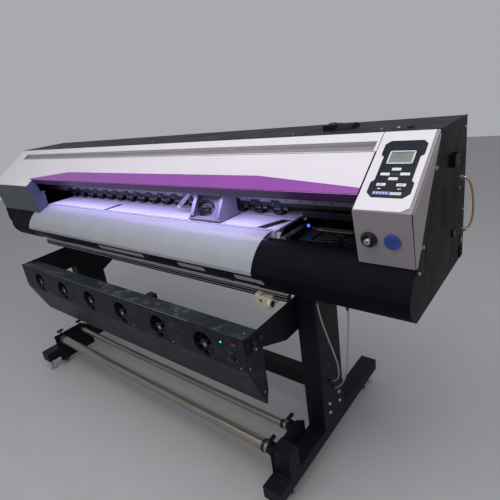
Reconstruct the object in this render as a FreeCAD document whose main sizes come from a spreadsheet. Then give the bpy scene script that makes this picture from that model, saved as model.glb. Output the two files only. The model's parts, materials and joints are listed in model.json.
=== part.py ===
"""Wide-format roll-fed inkjet printer on its stand, with dryer box and take-up shafts.

Millimetres.  X runs along the machine, to the operator's right; Y runs from the operator
towards the back; Z is up.  The origin is on the floor, under the middle of the machine.
"""
import FreeCAD, Part
import Sketcher
import math
import os

# ---------------------------------------------------------------- driving dimensions
DIMENSIONS = {
    # overall shell
    "half_width": 1450, "shell": 3, "gap": 0.5, "rear_face": 330, "hull_floor": 907,
    # sloping fascia and the chin panel below it (profile seen from the side)
    "crest_height": 1450, "fascia_tilt": 34.2, "fascia_length": 329, "skin": 2.5,
    "chin_tilt": 9.8, "chin_length": 183, "groove_top": 45, "groove_bottom": 89,
    "groove_depth": 15, "door_end": 269.5, "cap_inner": 1275, "cap_rim": 14,
    "cheek_inner": 918, "door_left": 955, "groove_left": 1305,
    # media path
    "platen_height": 1110, "platen_left": 969, "platen_right": 885, "platen_front": 145,
    "platen_back": 112, "platen_depth": 40, "apron_left": 990, "apron_right": 868,
    "nose_radius": 167, "belly_radius": 115, "belly_depth": 101, "belly_forward": 42,
    # feeding
    "feed_line": 50, "grit_radius": 12, "pinch_count": 17, "pinch_pitch": 108,
    "pinch_first": -946, "pinch_radius": 10, "lift_line": 96, "lift_height": 1145,
    # beam, belt and carriage
    "beam_front": 40, "beam_bottom": 1175, "beam_depth": 120, "beam_rise": 155,
    "rail_face": 22, "belt_height": 1305, "pulley_radius": 14, "pulley_reach": 1340,
    "carriage_left": 395, "carriage_width": 182, "carriage_front": 130, "head_gap": 3,
    # stand
    "leg_inner": 916, "leg_outer": 1010, "leg_front": 110, "leg_back": 80,
    "foot_reach": 480, "foot_bottom": 75, "foot_top": 135, "wheel_radius": 25,
    "wheel_lift": 3, "caster_reach": 366, "pad_reach": 455,
    # roll handling
    "plate_x": 920, "takeup_y": 360, "tension_y": 220, "shaft_height": 205,
    "takeup_radius": 25, "tension_radius": 17, "supply_y": 330, "supply_height": 700,
    # dryer
    "dryer_half": 911, "dryer_front": 446, "dryer_top": 806, "dryer_fold": 659,
    "dryer_floor": 456, "fan_count": 6, "fan_pitch": 279.9, "fan_height": 721,
    "blade_radius": 52, "fan_hole": 56,
    # controls
    "key_width": 27, "key_depth": 10, "knob_radius": 24,
}


class Measure(float):
    """A number that also carries the sheet expression it comes from."""

    def __new__(cls, value, text):
        measure = super().__new__(cls, value)
        measure.text = text
        return measure

    def __add__(self, other):
        return Measure(float(self) + float(other), f"({self.text} + {text_of(other)})")

    def __sub__(self, other):
        return Measure(float(self) - float(other), f"({self.text} - {text_of(other)})")

    def __mul__(self, other):
        return Measure(float(self) * float(other), f"({self.text} * {text_of(other)})")

    def __truediv__(self, other):
        return Measure(float(self) / float(other), f"({self.text} / {text_of(other)})")

    def __neg__(self):
        return Measure(-float(self), f"(-1 * {self.text})")

    def __radd__(self, other):
        return Measure(float(other) + float(self), f"({text_of(other)} + {self.text})")

    def __rsub__(self, other):
        return Measure(float(other) - float(self), f"({text_of(other)} - {self.text})")

    def __rmul__(self, other):
        return Measure(float(other) * float(self), f"({text_of(other)} * {self.text})")


def text_of(value):
    return value.text if isinstance(value, Measure) else repr(float(value))


def cosine(angle):
    return Measure(math.cos(math.radians(angle)), f"cos({text_of(angle)})")


def sine(angle):
    return Measure(math.sin(math.radians(angle)), f"sin({text_of(angle)})")


doc = FreeCAD.newDocument("printer")
sheet = doc.addObject("Spreadsheet::Sheet", "Dims")


def fill_sheet():
    """Write every driving dimension into the sheet and return them as measures."""
    measures = {}
    for row, (alias, value) in enumerate(DIMENSIONS.items(), start=1):
        sheet.set(f"A{row}", alias)
        sheet.set(f"B{row}", str(value))
        sheet.setAlias(f"B{row}", alias)
        measures[alias] = Measure(value, f"<<Dims>>.{alias}")
    doc.recompute()
    return measures


D = fill_sheet()


# ---------------------------------------------------------------- modelling helpers
def bind(target, path, value):
    """Tie one property to the sheet when its value came from there."""
    if isinstance(value, Measure):
        target.setExpression(path, value.text)


def place(piece, corner, tilt=0.0, turn=None):
    """Put a piece at a point, tilted about X, or with a fixed rotation in turn."""
    rotation = turn or FreeCAD.Rotation(FreeCAD.Vector(1, 0, 0), float(tilt))
    piece.Placement = FreeCAD.Placement(FreeCAD.Vector(*[float(c) for c in corner]), rotation)
    for axis, value in zip("xyz", corner):
        bind(piece, f"Placement.Base.{axis}", value)
    if turn is None and abs(float(tilt)) > 0:
        bind(piece, "Placement.Rotation.Angle", tilt)
    return piece


class Frame:
    """A plane tilted about X: v runs up the plane, w stands off it."""

    def __init__(self, y, z, tilt):
        self.y = y
        self.z = z
        self.tilt = tilt

    def point(self, x, v, w):
        y = self.y + v * cosine(self.tilt) - w * sine(self.tilt)
        z = self.z + v * sine(self.tilt) + w * cosine(self.tilt)
        return (x, y, z)


LEVEL = Frame(0.0, 0.0, 0.0)


def span(low, high):
    return high - low


def box(name, x, y, z, frame=LEVEL):
    """A block between pairs of limits along x, y and z, in a tilted frame if one is given."""
    piece = doc.addObject("Part::Box", name)
    for prop, limits in (("Length", x), ("Width", y), ("Height", z)):
        size = span(*limits)
        setattr(piece, prop, float(size))
        bind(piece, prop, size)
    corner = (x[0], y[0], z[0]) if frame is LEVEL else frame.point(x[0], y[0], z[0])
    return place(piece, corner, frame.tilt)


TURNS = {
    "x": FreeCAD.Rotation(FreeCAD.Vector(0, 1, 0), 90),
    "y": FreeCAD.Rotation(FreeCAD.Vector(1, 0, 0), -90),
    "z": FreeCAD.Rotation(),
}


def rod(name, axis, start, radius, length):
    """A round bar along one of the machine's axes."""
    piece = doc.addObject("Part::Cylinder", name)
    piece.Radius = float(radius)
    piece.Height = float(length)
    bind(piece, "Radius", radius)
    bind(piece, "Height", length)
    return place(piece, start, turn=TURNS[axis])


def stud(name, frame, x, v, w, radius, length, lean=0.0):
    """A round bar standing off a tilted plane; lean turns it further about X."""
    piece = doc.addObject("Part::Cylinder", name)
    piece.Radius = float(radius)
    piece.Height = float(length)
    bind(piece, "Radius", radius)
    bind(piece, "Height", length)
    return place(piece, frame.point(x, v, w), frame.tilt + lean)


def combine(kind, name, pieces):
    piece = doc.addObject(kind, name)
    if kind == "Part::Compound":
        piece.Links = pieces
    else:
        piece.Shapes = pieces
    return piece


def group(name, pieces):
    return combine("Part::Compound", name, pieces)


def fuse(name, pieces):
    return combine("Part::MultiFuse", name, pieces)


def cut(name, base, tool):
    piece = doc.addObject("Part::Cut", name)
    piece.Base = base
    piece.Tool = tool
    return piece


class Bow:
    """An arc from the point before it to the point after it, about a centre."""

    def __init__(self, centre, radius, forward=True):
        self.centre = centre
        self.radius = radius
        self.forward = forward


AXIS_KINDS = ("DistanceX", "DistanceY")


def polar(centre, radius, angle):
    return (centre[0] + radius * cosine(angle), centre[1] + radius * sine(angle))


def draw(sketch, outline):
    """Draw one closed outline of points and bows and fix every point from the sheet."""
    corners = [item for item in outline if not isinstance(item, Bow)]
    edges = []
    for index, item in enumerate(outline):
        if isinstance(item, Bow):
            continue
        after = outline[(index + 1) % len(outline)]
        bow = after if isinstance(after, Bow) else None
        nxt = outline[(index + 2) % len(outline)] if bow else after
        first = FreeCAD.Vector(float(item[0]), float(item[1]), 0)
        last = FreeCAD.Vector(float(nxt[0]), float(nxt[1]), 0)
        if bow is None:
            edge = sketch.addGeometry(Part.LineSegment(first, last), False)
            edges.append((edge, 1, 2))
            continue
        middle = FreeCAD.Vector(float(bow.centre[0]), float(bow.centre[1]), 0)
        start, end = (first, last) if bow.forward else (last, first)
        from_angle = math.atan2(start.y - middle.y, start.x - middle.x)
        to_angle = math.atan2(end.y - middle.y, end.x - middle.x)
        circle = Part.Circle(middle, FreeCAD.Vector(0, 0, 1), float(bow.radius))
        edge = sketch.addGeometry(Part.ArcOfCircle(circle, from_angle, to_angle), False)
        axis = 0 if abs(last.y - first.y) > abs(last.x - first.x) else 1
        held = Sketcher.Constraint(AXIS_KINDS[axis], -1, 1, edge, 3, float(bow.centre[axis]))
        bind(sketch, f"Constraints[{sketch.addConstraint(held)}]", bow.centre[axis])
        edges.append((edge, 1, 2) if bow.forward else (edge, 2, 1))
    for index, (edge, start, _) in enumerate(edges):
        before, _, end = edges[index - 1]
        sketch.addConstraint(Sketcher.Constraint("Coincident", before, end, edge, start))
        for kind, value in zip(AXIS_KINDS, corners[index]):
            fixed = Sketcher.Constraint(kind, -1, 1, edge, start, float(value))
            number = sketch.addConstraint(fixed)
            bind(sketch, f"Constraints[{number}]", value)


def sketch_on(body, name, plane, offset):
    """An empty sketch on one of the body's own origin planes, moved off it by offset."""
    sketch = body.newObject("Sketcher::SketchObject", name)
    support = [feature for feature in body.Origin.OriginFeatures if feature.Role == plane]
    sketch.AttachmentSupport = [(support[0], "")]
    sketch.MapMode = "FlatFace"
    sketch.AttachmentOffset = FreeCAD.Placement(FreeCAD.Vector(0, 0, float(offset)),
                                                FreeCAD.Rotation())
    bind(sketch, "AttachmentOffset.Base.z", offset)
    return sketch


def pad(name, outline, start, length, plane="YZ_Plane", frame=None):
    """A body made by pushing one outline out of a plane."""
    body = doc.addObject("PartDesign::Body", name)
    sketch = sketch_on(body, f"{name}_outline", plane, start)
    draw(sketch, outline)
    feature = body.newObject("PartDesign::Pad", f"{name}_pad")
    feature.Profile = sketch
    feature.Length = float(length)
    bind(feature, "Length", length)
    body.Tip = feature
    if frame is not None:
        place(body, (0.0, frame.y, frame.z), frame.tilt)
    doc.recompute()
    return body


def pocket(body, name, outlines, plane, offset, depth, pattern=None):
    """Cut outlines out of a body, along the plane's own direction, and repeat them."""
    before = body.Shape.Volume
    sketch = sketch_on(body, f"{name}_outline", plane, offset)
    for outline in outlines:
        draw(sketch, outline)
    feature = body.newObject("PartDesign::Pocket", name)
    feature.Profile = sketch
    feature.Length = float(depth)
    bind(feature, "Length", depth)
    body.Tip = feature
    doc.recompute()
    if body.Shape.Volume >= before - 1e-3:
        feature.Reversed = True
        doc.recompute()
    if body.Shape.Volume >= before - 1e-3:
        raise RuntimeError(f"{name} removes nothing")
    if pattern:
        count, pitch = pattern
        repeat = body.newObject("PartDesign::LinearPattern", f"{name}_row")
        repeat.Originals = [feature]
        repeat.Direction = (sketch, ["H_Axis"])
        repeat.Occurrences = int(count)
        repeat.Length = float(pitch) * (int(count) - 1)
        bind(repeat, "Length", pitch * (int(count) - 1))
        body.Tip = repeat
        doc.recompute()
    return body


def rectangle(u, v):
    return [(u[0], v[0]), (u[1], v[0]), (u[1], v[1]), (u[0], v[1])]


def slot(u, v):
    """A rounded slot between limits u, as high as the limits v, bulging at both ends."""
    radius = (v[1] - v[0]) / 2
    middle = (v[0] + v[1]) / 2
    return [(u[0] + radius, v[0]), (u[1] - radius, v[0]), Bow((u[1] - radius, middle), radius),
            (u[1] - radius, v[1]), (u[0] + radius, v[1]), Bow((u[0] + radius, middle), radius)]


def disc(centre, radius):
    """A full circle drawn as two half-round bows."""
    left = (centre[0] - radius, centre[1])
    right = (centre[0] + radius, centre[1])
    return [left, Bow(centre, radius), right, Bow(centre, radius)]


def label(piece, name):
    piece.Label = name
    NODES.append(piece)
    return piece


NODES = []
SIDES = (("left", -1), ("right", 1))


def mirror_limits(low, high, side):
    """Limits along x for a piece on the right, swapped over for the left side."""
    return (low, high) if side > 0 else (-high, -low)


# ---------------------------------------------------------------- reference geometry
FASCIA = Frame(0.0 * D["shell"], D["crest_height"], D["fascia_tilt"])
kink_y = -D["fascia_length"] * cosine(D["fascia_tilt"])
kink_z = D["crest_height"] - D["fascia_length"] * sine(D["fascia_tilt"])
CHIN = Frame(kink_y, kink_z, D["chin_tilt"])
chin_y = kink_y + D["chin_length"] * sine(D["chin_tilt"])
chin_z = kink_z - D["chin_length"] * cosine(D["chin_tilt"])

nose = (-D["platen_front"], D["platen_height"] - D["nose_radius"])
belly = (nose[0] - D["belly_forward"], D["hull_floor"] + D["belly_depth"])
NOSE_END = 160.0
BELLY_START = 190.0
BELLY_END = 242.0
carriage_right = D["carriage_left"] + D["carriage_width"]
wheel_height = D["platen_height"] + D["pinch_radius"] + 0.5
feed_height = D["platen_height"] - D["grit_radius"] + 0.2


def nose_outline(inset, start_angle, back, tail):
    """Thin curved section: over the nose, round the belly and along the bottom."""
    outer_nose = D["nose_radius"] - inset
    inner_nose = outer_nose - D["shell"]
    outer_belly = D["belly_radius"] - inset
    inner_belly = outer_belly - D["shell"]
    floor_outer = polar(belly, outer_belly, BELLY_END)
    floor_inner = polar(belly, inner_belly, BELLY_END)
    return [polar(nose, outer_nose, start_angle), Bow(nose, outer_nose),
            polar(nose, outer_nose, NOSE_END),
            polar(belly, outer_belly, BELLY_START), Bow(belly, outer_belly),
            floor_outer,
            (back, floor_outer[1]), tail[0], tail[1],
            (back - D["shell"], floor_inner[1]), floor_inner,
            Bow(belly, inner_belly, False), polar(belly, inner_belly, BELLY_START),
            polar(nose, inner_nose, NOSE_END), Bow(nose, inner_nose, False),
            polar(nose, inner_nose, start_angle)]


# ---------------------------------------------------------------- stand
def legs():
    """Both uprights with their top plates, foot beams and dryer arms, in welded tube."""
    pieces = []
    for word, side in SIDES:
        inner, outer = D["leg_inner"], D["leg_outer"]
        x = mirror_limits(inner, outer, side)
        foot = mirror_limits(inner + 4, outer - 6, side)
        arm = mirror_limits(inner - 4, inner, side)
        low, high = D["foot_top"], D["hull_floor"] - 6
        front, back = -D["leg_front"], D["leg_back"]
        column = pad(f"{word}_column", [
            (x[0] + 8, front), (x[1] - 8, front), Bow((x[1] - 8, front + 8), 8),
            (x[1], front + 8), (x[1], back - 8), Bow((x[1] - 8, back - 8), 8),
            (x[1] - 8, back), (x[0] + 8, back), Bow((x[0] + 8, back - 8), 8),
            (x[0], back - 8), (x[0], front + 8), Bow((x[0] + 8, front + 8), 8)],
            low, high - low, "XY_Plane")
        bore = box(f"{word}_column_bore", (x[0] + 4, x[1] - 4), (front + 4, back - 4),
                   (low - 1, high + 1))
        pieces.append(cut(f"{word}_column_tube", column, bore))
        pieces.append(box(f"{word}_top_plate", (x[0] - 20, x[1] + 20),
                          (front - 40, back + 60), (high, D["hull_floor"] - 0.6)))
        reach = D["foot_reach"]
        beam = box(f"{word}_foot_beam", foot, (-reach, reach), (D["foot_bottom"], low))
        hollow = box(f"{word}_foot_bore", (foot[0] + 4, foot[1] - 4), (-reach - 1, reach + 1),
                     (D["foot_bottom"] + 4, low - 4))
        pieces.append(cut(f"{word}_foot_tube", beam, hollow))
        for i, y in enumerate((-reach, reach - 6)):
            pieces.append(box(f"{word}_foot_plug_{i}", (foot[0] + 4, foot[1] - 4), (y, y + 6),
                              (D["foot_bottom"] + 4, low - 4)))
        top = D["dryer_top"]
        pieces.append(pad(f"{word}_arm", [
            (-D["dryer_front"] + 6, top - 4), (front + 20, top + 4), (front + 20, top - 153),
            (front - 86, top - 153), (-D["dryer_front"] + 50, top - 70),
            (-D["dryer_front"] + 6, top - 70)], arm[0], arm[1] - arm[0]))
    label(group("leg_group", pieces), "legs")


def cross_beam():
    """Lower tie between the legs, a channel with its two end plates."""
    inner = D["leg_inner"]
    solid = box("tie_solid", (-inner + 8, inner - 8), (0.0, 60.0), (250.0, 330.0))
    bore = box("tie_bore", (-inner + 7, inner - 7), (4.0, 56.0), (254.0, 326.0))
    tube = cut("tie_tube", solid, bore)
    ends = [box(f"tie_end_{word}", mirror_limits(inner - 8, inner, side),
                (-30.0, 75.0), (230.0, 350.0)) for word, side in SIDES]
    label(group("tie_group", [tube] + ends), "cross_beam")


def levelling_feet():
    pads = []
    middle = (D["leg_inner"] + D["leg_outer"]) / 2 + 2
    for word, side in SIDES:
        for end in (-1, 1):
            x = middle * side
            y = D["pad_reach"] * end
            base = rod(f"pad_{word}_{end}", "z", (x, y, 0.0), 22, 10)
            screw = rod(f"screw_{word}_{end}", "z", (x, y, 10.0), 6, D["foot_bottom"] - 10)
            nut = rod(f"nut_{word}_{end}", "z", (x, y, D["foot_bottom"] - 8), 11, 8)
            pads.append(fuse(f"foot_{word}_{end}", [base, screw, nut]))
    label(group("feet_group", pads), "levelling_feet")


def casters():
    """Four swivel forks and their wheels, held just off the floor by the levelling feet."""
    middle = (D["leg_inner"] + D["leg_outer"]) / 2 + 2
    axle_height = D["wheel_radius"] + D["wheel_lift"]
    number = 0
    for word, side in SIDES:
        for end in (-1, 1):
            number += 1
            x = middle * side
            y = D["caster_reach"] * end
            axle_y = y + 14
            top = box(f"fork_top_{number}", (x - 20, x + 20), (y - 22, y + 36),
                      (D["foot_bottom"] - 10, D["foot_bottom"] - 6))
            kingpin = rod(f"kingpin_{number}", "z", (x, y, D["foot_bottom"] - 6), 12, 5.5)
            cheeks = [box(f"fork_cheek_{number}_{hand}", (x + 17 * hand - 2, x + 17 * hand + 2),
                          (axle_y - 14, axle_y + 14), (axle_height - 8, D["foot_bottom"] - 10))
                      for hand in (-1, 1)]
            axle = rod(f"caster_axle_{number}", "x", (x - 19, axle_y, axle_height), 4, 38)
            parts = [top, kingpin, axle] + cheeks
            label(fuse(f"fork_{number}", parts), f"caster_fork_{number}")
            tread = rod(f"tread_{number}", "x", (x - 12, axle_y, axle_height),
                        D["wheel_radius"], 24)
            hub = rod(f"hub_{number}", "x", (x - 14, axle_y, axle_height), 11, 28)
            bore = rod(f"wheel_bore_{number}", "x", (x - 15, axle_y, axle_height), 4.05, 30)
            solid = fuse(f"wheel_solid_{number}", [tread, hub])
            label(cut(f"wheel_{number}", solid, bore), f"caster_wheel_{number}")


# ---------------------------------------------------------------- inner frame and drive
def side_frames():
    """Two outer uprights that carry the beam and two low plates that carry the platen."""
    floor = D["hull_floor"] + D["shell"]
    plates = []
    for word, side in SIDES:
        outer = mirror_limits(D["half_width"] - 60, D["half_width"] - 52, side)
        plates.append(pad(f"upright_{word}", [
            (-150.0, floor), (300.0, floor), (300.0, D["beam_bottom"] + 190),
            (30.0, D["beam_bottom"] + 190), (-60.0, D["beam_bottom"] + 100),
            (-60.0, D["platen_height"] - 20), (-150.0, D["platen_height"] - 60)],
            outer[0], 8))
    lows = ((-D["platen_left"] - 31, -D["platen_left"] - 23),
            (D["platen_right"] + 6, D["platen_right"] + 14))
    for number, x in enumerate(lows):
        plate = pad(f"low_plate_{number}", [
            (-150.0, floor), (220.0, floor), (220.0, D["platen_height"] - 30),
            (D["platen_back"], D["platen_height"] - 2), (-100.0, D["platen_height"] - 2),
            (-150.0, D["platen_height"] - 60)], x[0], 8)
        hole = rod(f"feed_bearing_{number}", "x",
                   (x[0] - 1, D["feed_line"], feed_height), 8.05, 10)
        plates.append(cut(f"low_frame_{number}", plate, hole))
    stay_x = -D["platen_left"] - 31
    top = D["platen_height"] + 85
    foot = D["platen_height"] - 46.8
    stay = [box("stay_post", (stay_x, stay_x + 8), (-163.0, -139.0), (foot, top)),
            box("stay_head", (stay_x - 16, stay_x + 24), (-163.0, -139.0), (top, top + 5)),
            rod("stay_pin", "y", (stay_x + 4, -175.0, top - 40), 5, 30)]
    plates.append(fuse("bay_stay", stay))
    motor_x = -D["pulley_reach"]
    motor = box("motor_body", (motor_x - 30, motor_x + 30), (-30.0, 30.0),
                (D["belt_height"] - 90, D["belt_height"] - 10))
    spindle = rod("motor_spindle", "z", (motor_x, 0.0, D["belt_height"] - 10), 4, 24)
    bracket = box("motor_bracket", (motor_x - 30, motor_x + 30), (30.0, D["beam_front"]),
                  (D["belt_height"] - 90, D["belt_height"] - 10))
    plates.append(fuse("carriage_motor", [motor, spindle, bracket]))
    label(group("frames_group", plates), "side_frames")


def main_beam():
    """Black box beam with its front flange, the linear rail and the belt idler."""
    reach = D["half_width"] - 60
    front = D["beam_front"]
    bottom = D["beam_bottom"]
    tube = box("beam_tube", (-reach, reach), (front, front + D["beam_depth"]),
               (bottom, bottom + D["beam_rise"]))
    flange = box("beam_flange", (-reach + 60, reach), (front - 22, front - 2),
                 (bottom - 16, bottom + 17))
    web = box("beam_web", (-reach + 60, reach), (front - 2, front), (bottom, bottom + 17))
    rail = box("linear_rail", (-reach + 90, reach - 20), (D["rail_face"], front),
               (bottom + 60, bottom + 87))
    idler_x = D["pulley_reach"]
    idler = rod("idler_wheel", "z", (idler_x, 0.0, D["belt_height"] - 1),
                D["pulley_radius"], 19)
    holder = box("idler_holder", (idler_x - 16, idler_x + 16), (-16.0, front),
                 (D["belt_height"] - 13, D["belt_height"] - 1))
    bore = box("beam_bore", (-reach - 1, reach + 1), (front + 4, front + D["beam_depth"] - 4),
               (bottom + 4, bottom + D["beam_rise"] - 4))
    beam = cut("hollow_beam", fuse("flanged_beam", [tube, web, flange]), bore)
    label(group("beam_group", [beam, rail, fuse("idler", [idler, holder])]), "main_beam")


def drive_belt():
    """Toothed belt as a flat race-track loop round the pulley and the idler."""
    reach = D["pulley_reach"]
    outer = D["pulley_radius"] + 2
    inner = D["pulley_radius"] + 0.3

    def track(radius):
        return [(-reach, -radius), (reach, -radius), Bow((reach, 0.0 * radius), radius),
                (reach, radius), (-reach, radius), Bow((-reach, 0.0 * radius), radius)]

    belt = pad("belt_loop", track(outer), D["belt_height"], 15, "XY_Plane")
    pocket(belt, "belt_inside", [track(inner)], "XY_Plane", D["belt_height"], 15)
    label(belt, "drive_belt")


def drive_pulley():
    centre = (-D["pulley_reach"], 0.0 * D["shell"], D["belt_height"] - 1)
    wheel = rod("pulley_wheel", "z", centre, D["pulley_radius"], 17)
    rim = rod("pulley_rim", "z", (centre[0], centre[1], centre[2] + 17),
              D["pulley_radius"] + 3, 2)
    bore = rod("pulley_bore", "z", (centre[0], centre[1], centre[2] - 10), 4.05, 40)
    solid = fuse("pulley_solid", [wheel, rim])
    label(cut("pulley", solid, bore), "drive_pulley")


# ---------------------------------------------------------------- media path
def platen():
    top = D["platen_height"]
    bottom = top - D["platen_depth"]
    front, back = -D["platen_front"], D["platen_back"]
    channel = (D["feed_line"] - 14, D["feed_line"] + 14)
    body = pad("platen_body", [
        (front, bottom), (front + 8, bottom), (front + 8, top - 10), (channel[0] - 8, top - 10),
        (channel[0] - 8, bottom), (channel[0], bottom), (channel[0], top - 3),
        (channel[1], top - 3), (channel[1], bottom), (channel[1] + 8, bottom),
        (channel[1] + 8, top - 10), (back - 8, top - 10), (back - 8, bottom), (back, bottom),
        (back, top), (front, top)],
        -D["platen_left"], D["platen_left"] + D["platen_right"])
    first = D["pinch_first"]
    pocket(body, "grit_slots", [rectangle((first - 21, first + 21), (channel[0] + 1, channel[1] - 1))],
           "XY_Plane", top, 3.5, (D["pinch_count"], D["pinch_pitch"]))
    pocket(body, "cutter_groove",
           [rectangle((-D["platen_left"] - 1, D["platen_right"] + 1), (front + 12, front + 16))],
           "XY_Plane", top, 2)
    label(body, "platen")


def front_apron():
    """Curved sheet that carries the printed media from the platen down over the nose."""
    radius = D["nose_radius"]
    inner = radius - D["shell"]
    end = polar(nose, radius, NOSE_END)
    end_in = polar(nose, inner, NOSE_END)
    body = pad("apron_sheet", [
        polar(nose, radius, 90.5), Bow(nose, radius), end, (end[0], end[1] - 14),
        (end_in[0], end_in[1] - 14), end_in, Bow(nose, inner, False), polar(nose, inner, 90.5)],
        -D["apron_left"], D["apron_left"] + D["apron_right"])
    label(body, "front_apron")


def feed_roller():
    reach_left = D["platen_left"] + 36
    shaft = rod("feed_shaft", "x", (-reach_left, D["feed_line"], feed_height), 8,
                reach_left + D["platen_right"] + 30)
    grits = [rod(f"grit_{i}", "x", (D["pinch_first"] + D["pinch_pitch"] * i - 19,
                                    D["feed_line"], feed_height), D["grit_radius"], 38)
             for i in range(int(D["pinch_count"]))]
    label(fuse("feed_roller_solid", [shaft] + grits), "feed_roller")


def pinch_arms():
    """Row of spring arms on one lift shaft, with the hand lever at the left."""
    pieces = []
    line, height = D["lift_line"], D["lift_height"]
    for i in range(int(D["pinch_count"])):
        x = D["pinch_first"] + D["pinch_pitch"] * i
        pieces.append(box(f"arm_{i}", (x - 26, x + 26), (line - 66, line - 1),
                          (wheel_height + 12, height + 5)))
        pieces.append(rod(f"pinch_axle_{i}", "x", (x - 22, D["feed_line"], wheel_height), 2, 44))
        for hand in (-1, 1):
            pieces.append(box(f"arm_cheek_{i}_{hand}", (x + 21 * hand - 3, x + 21 * hand + 3),
                              (line - 60, line - 30), (D["platen_height"] + 5, wheel_height + 12)))
    start = -D["platen_left"] - 12
    shaft = rod("lift_shaft", "x", (start, line, height), 6, D["platen_right"] - start)
    lever = box("lift_lever", (start + 2, start + 14), (line, line + 215),
                (height - 4, height + 4))
    grip = rod("lift_grip", "y", (start + 8, line + 215, height - 1), 7, 28)
    label(fuse("pinch_arm_solid", pieces + [shaft, lever, grip]), "pinch_arms")


def pinch_rollers():
    wheels = []
    for i in range(int(D["pinch_count"])):
        x = D["pinch_first"] + D["pinch_pitch"] * i
        tyre = rod(f"pinch_tyre_{i}", "x", (x - 15, D["feed_line"], wheel_height),
                   D["pinch_radius"], 30)
        bore = rod(f"pinch_bore_{i}", "x", (x - 16, D["feed_line"], wheel_height), 2.05, 32)
        wheels.append(cut(f"pinch_wheel_{i}", tyre, bore))
    label(group("pinch_wheels", wheels), "pinch_rollers")


# ---------------------------------------------------------------- carriage and service bay
def carriage():
    left, right = D["carriage_left"], carriage_right
    front = -D["carriage_front"]
    low = D["platen_height"] + D["head_gap"]
    base = box("carriage_base", (left - 6, right + 6), (front - 4, 8.0), (low + 3, low + 11))
    gussets = []
    for number, x in enumerate((left, right - 5)):
        plate = pad(f"gusset_{number}", [
            (front, low + 11), (5.0, low + 11), (5.0, low + 117), (front + 62, low + 117),
            (front, low + 20)], x, 5)
        rim_x = x if number == 0 else x - 17
        rim = pad(f"gusset_rim_{number}", [
            (front, low + 20), (front + 62, low + 117), (front + 66, low + 117),
            (front + 4, low + 20)], rim_x, 22)
        gussets.append(fuse(f"gusset_folded_{number}", [plate, rim]))
    back = pad("carriage_back", [
        (front + 46, low + 11), (front + 50, low + 11), (front + 104, low + 117),
        (front + 100, low + 117)], left + 5, D["carriage_width"] - 10)
    arm = pad("hose_arm", [(left - 167, low + 32), (left - 133, low + 27), (left - 20, low + 117),
                           (left - 3, low + 125), (left - 3, low + 137), (left - 48, low + 117)],
              58.0, 3, "XZ_Plane")
    hood = box("carriage_hood", (left - 3, right + 3), (front + 18, 8.0), (low + 117, low + 185))
    slider = box("rail_slider", (left + 40, right - 40), (8.0, D["rail_face"] - 0.1),
                 (D["beam_bottom"] + 55, D["beam_bottom"] + 92))
    clip_x = (left + 60, left + 120)
    clip = [box("clip_foot", clip_x, (-24.0, -8.0), (low + 185, D["belt_height"] - 1)),
            box("clip_front", clip_x, (-22.0, -16.4), (D["belt_height"] - 1, D["belt_height"] + 18)),
            box("clip_rear", clip_x, (-13.9, -9.0), (D["belt_height"] - 1, D["belt_height"] + 18))]
    heads = [box(f"print_head_{i}", (left + 22 + 37 * i, left + 49 + 37 * i),
                 (front + 18, front + 98), (low, low + 3)) for i in range(4)]
    belt_clip = fuse("belt_clip", clip)
    label(group("carriage_group", [base, back, hood, slider, belt_clip, arm] + gussets + heads), "carriage")


def service_bay():
    """Maintenance tray in the right bay and the lifting cap carrier that sits in it."""
    left, right = D["platen_right"] + 20, D["cap_inner"] - 8
    floor = D["platen_height"] - 70
    rim = floor + 40
    tray = [box("tray_floor", (left, right), (-175.0, 20.0), (floor, floor + 3)),
            box("tray_front", (left, right), (-178.0, -175.0), (floor, rim)),
            box("tray_back", (left, right), (20.0, 23.0), (floor, rim)),
            box("tray_left", (left - 3, left), (-178.0, 23.0), (floor, rim)),
            box("tray_right", (right, right + 3), (-178.0, 23.0), (floor, rim)),
            box("wiper_box", (left + 6, left + 42), (-150.0, 0.0), (floor + 3, rim + 8)),
            rod("guide_front", "x", (left, -165.0, rim - 8), 4, right - left),
            rod("guide_rear", "x", (left, 10.0, rim - 8), 4, right - left),
            box("tray_stand_front", (left + 60, right - 40), (-120.0, -116.0),
                (D["hull_floor"] + D["shell"], floor)),
            box("tray_stand_back", (left + 60, right - 40), (-24.0, -20.0),
                (D["hull_floor"] + D["shell"], floor))]
    label(group("tray_group", tray), "capping_tray")
    sled = box("cap_sled", (left + 60, left + 330), (-152.0, -2.0), (floor + 12, floor + 24))
    cups = [box(f"cap_cup_{i}", (left + 76 + 60 * i, left + 124 + 60 * i), (-132.0, -22.0),
                (floor + 24, floor + 44)) for i in range(4)]
    label(group("cap_group", [sled] + cups), "cap_carrier")


# ---------------------------------------------------------------- covers
def beam_slots():
    """Outlines of the long rounded slots in the front beam, in X and Z."""
    return [slot(x, (D["hull_floor"] + 39, D["hull_floor"] + 65))
            for x in ((-206.0, 190.0), (432.0, 604.0), (765.0, 917.0))]


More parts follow.
